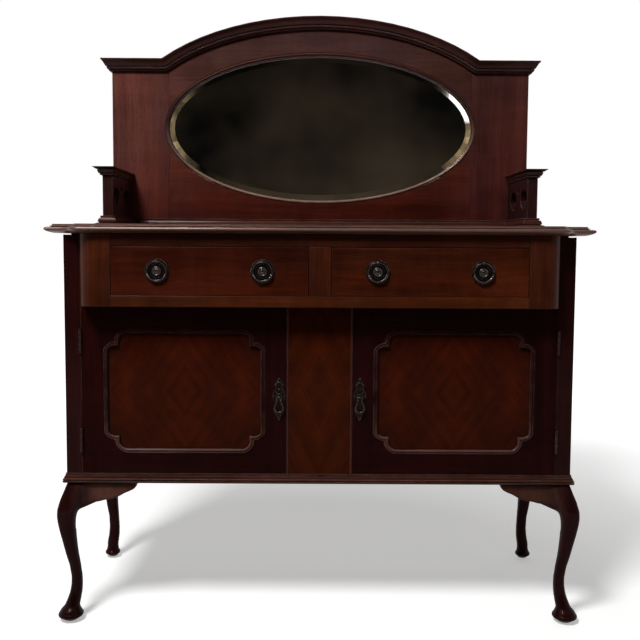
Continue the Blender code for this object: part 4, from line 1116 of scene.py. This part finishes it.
def door_drop(label):
    """The drop on a door plate: a thin bar through the boss that swells into a loop with knops."""
    hang = plate_spot(label, 0, BARREL_OUT, BOSS_UP)
    right = [Vector((point.x, 0, point.y)) for point in flowing(DROP_PATH)]
    path = right + [Vector((-point.x, 0, point.z)) for point in reversed(right[1:-1])]
    radii = [DROP_THIN + DROP_SWELL * min(1.0, -point.z / DROP_FULL_DOWN) for point in path]
    builder = bmesh.new()
    wire_loop(builder, [hang + point for point in path], radii)
    for side in (-1, 1):
        for across, down, radius in DROP_KNOPS:
            bead(builder, hang + Vector((side * across, 0, -down)), radius)
    close_up(builder)
    stand_in(f"loop_{label}", f"door_{label}_drop", builder, 50)


for number in (1, 2, 3, 4):
    pull_rose(number)
    pull_ring(number)
for label in ("left", "right"):
    door_plate(label)
    door_drop(label)

BEAD_RADIUS = 0.0021
BEAD_FROM_DOOR = 0.0024
BEAD_IN = 0.0004
BEAD_SHORT = 0.001


def centre_bead(side, label):
    """A thin rounded bead up an edge of the centre panel, clear of the door beside it."""
    low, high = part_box("centre_panel")
    edge = side * (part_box("door_right_frame")[0].x - BEAD_FROM_DOOR)
    builder = bmesh.new()
    made = bmesh.ops.create_cone(
        builder, cap_ends=True, segments=20, radius1=BEAD_RADIUS, radius2=BEAD_RADIUS,
        depth=high.z - low.z - BEAD_SHORT,
    )
    bmesh.ops.translate(builder, verts=made["verts"], vec=(edge, low.y + BEAD_IN, (low.z + high.z) / 2))
    add_piece(f"centre_bead_{label}", builder, body_of["centre_panel"], "front_wood", 40, finishes["bead"])


for side, label in ((-1, "left"), (1, "right")):
    centre_bead(side, label)

# Setting: pale floor, pale surroundings, soft lamps and a dark wall far behind the viewer

FLOOR_RADIUS = 40
WALL_HALF = (5.0, 3.5, 1)
WALL_PLACE = (0, -5.2, 2.95)
WALL_DARK = (0.006, 0.006, 0.006, 1)
WALL_LIGHT = (0.085, 0.062, 0.042, 1)
WALL_WARM = (0.90, 0.66, 0.36, 1)
LAMP_AIM = (0, -0.1, 0.8)


def camera_share(tree):
    """One for rays that come from the camera, or by a mirror or through glass."""
    rays = tree.nodes.new("ShaderNodeLightPath").outputs
    seen = math_node(tree, "MAXIMUM", rays["Is Camera Ray"], rays["Is Glossy Ray"])
    return math_node(tree, "MAXIMUM", seen, rays["Is Transmission Ray"])


def pale_floor():
    """A matt floor that looks white and brightens outwards, but lends the legs little light."""
    material, tree, shader, place = start_material("pale_floor")
    seen = camera_share(tree)
    length = vector_node(tree, "LENGTH", place, output="Value")
    lift = range_node(tree, length, 0.8, 3.2, 0.40, 1.0)
    set_inputs(
        tree, shader, Roughness=0.9, Specular_IOR_Level=0.1,
        Base_Color=mix_colour(tree, seen, (0.10, 0.10, 0.10, 1), (0.80, 0.80, 0.80, 1)),
        Emission_Color=(1, 1, 1, 1), Emission_Strength=math_node(tree, "MULTIPLY", seen, lift),
    )
    builder = bmesh.new()
    bmesh.ops.create_circle(builder, cap_ends=True, segments=64, radius=FLOOR_RADIUS)
    floor = plain_object("floor", builder, material)


def pale_world():
    """White surroundings to look at, which light the part faintly from the front and more from behind."""
    world = bpy.data.worlds.new("studio")
    world.use_nodes = True
    bpy.context.scene.world = world
    tree = world.node_tree
    background = tree.nodes["Background"]
    background.inputs["Color"].default_value = (1, 1, 1, 1)
    depth = parts_of(tree, tree.nodes.new("ShaderNodeTexCoord").outputs["Generated"], "Y")[0]
    around = range_node(tree, depth, -0.1, 0.8, 0.03, 0.35)
    strength = range_node(tree, camera_share(tree), 0.0, 1.0, around, 1.0)
    tree.links.new(strength, background.inputs["Strength"])


def dark_wall():
    """A dark wall behind the camera that glows faintly, warmer towards its sides and foot, which only the
    mirror and the polish see.
    """
    material, tree, shader, place = start_material("dark_wall")
    shade = noise_node(tree, place, 0.7, 3.0, 0.6)
    share = range_node(tree, shade, 0.35, 0.70)
    colour = mix_colour(tree, share, WALL_DARK, WALL_LIGHT)
    x, z = parts_of(tree, place, "XZ")
    warm = range_node(tree, math_node(tree, "ABSOLUTE", x), 1.6, 2.2)
    uneven = noise_node(tree, vector_node(tree, "MULTIPLY", place, (3.0, 1.0, 0.9)), 1.0, 3.0, 0.6)
    warm = math_node(tree, "MULTIPLY", warm, range_node(tree, uneven, 0.42, 0.60, 0.12, 1.0))
    warm = math_node(tree, "MAXIMUM", warm, range_node(tree, z, 1.0, 0.2, 0.0, 0.12))
    colour = mix_colour(tree, warm, colour, WALL_WARM)
    set_inputs(
        tree, shader, Base_Color=colour, Emission_Color=colour, Roughness=0.9, Specular_IOR_Level=0.0,
        Emission_Strength=math_node(tree, "MULTIPLY_ADD", warm, 0.30, 0.05),
    )
    builder = bmesh.new()
    bmesh.ops.create_grid(builder, x_segments=1, y_segments=1, size=1)
    bmesh.ops.scale(builder, verts=builder.verts, vec=WALL_HALF)
    bmesh.ops.rotate(builder, verts=builder.verts, matrix=Matrix.Rotation(-math.pi / 2, 3, "X"))
    bmesh.ops.translate(builder, verts=builder.verts, vec=WALL_PLACE)
    wall = plain_object("dark_wall", builder, material)
    wall.visible_camera = False
    wall.visible_shadow = False


def soft_lamp(name, place, size, power):
    """A round soft lamp turned to the part's middle."""
    lamp = bpy.data.lights.new(name, "AREA")
    lamp.shape = "DISK"
    lamp.size = size
    lamp.energy = power
    made = bpy.data.objects.new(name, lamp)
    made.location = place
    made.rotation_euler = (Vector(LAMP_AIM) - Vector(place)).to_track_quat("-Z", "Y").to_euler()
    bpy.context.scene.collection.objects.link(made)


pale_floor()
pale_world()
dark_wall()
soft_lamp("key", (-1.4, -2.45, 4.2), 1.2, 218)
soft_lamp("fill", (1.9, -3.6, 2.6), 1.0, 4)
bpy.context.scene.view_settings.view_transform = "Standard"
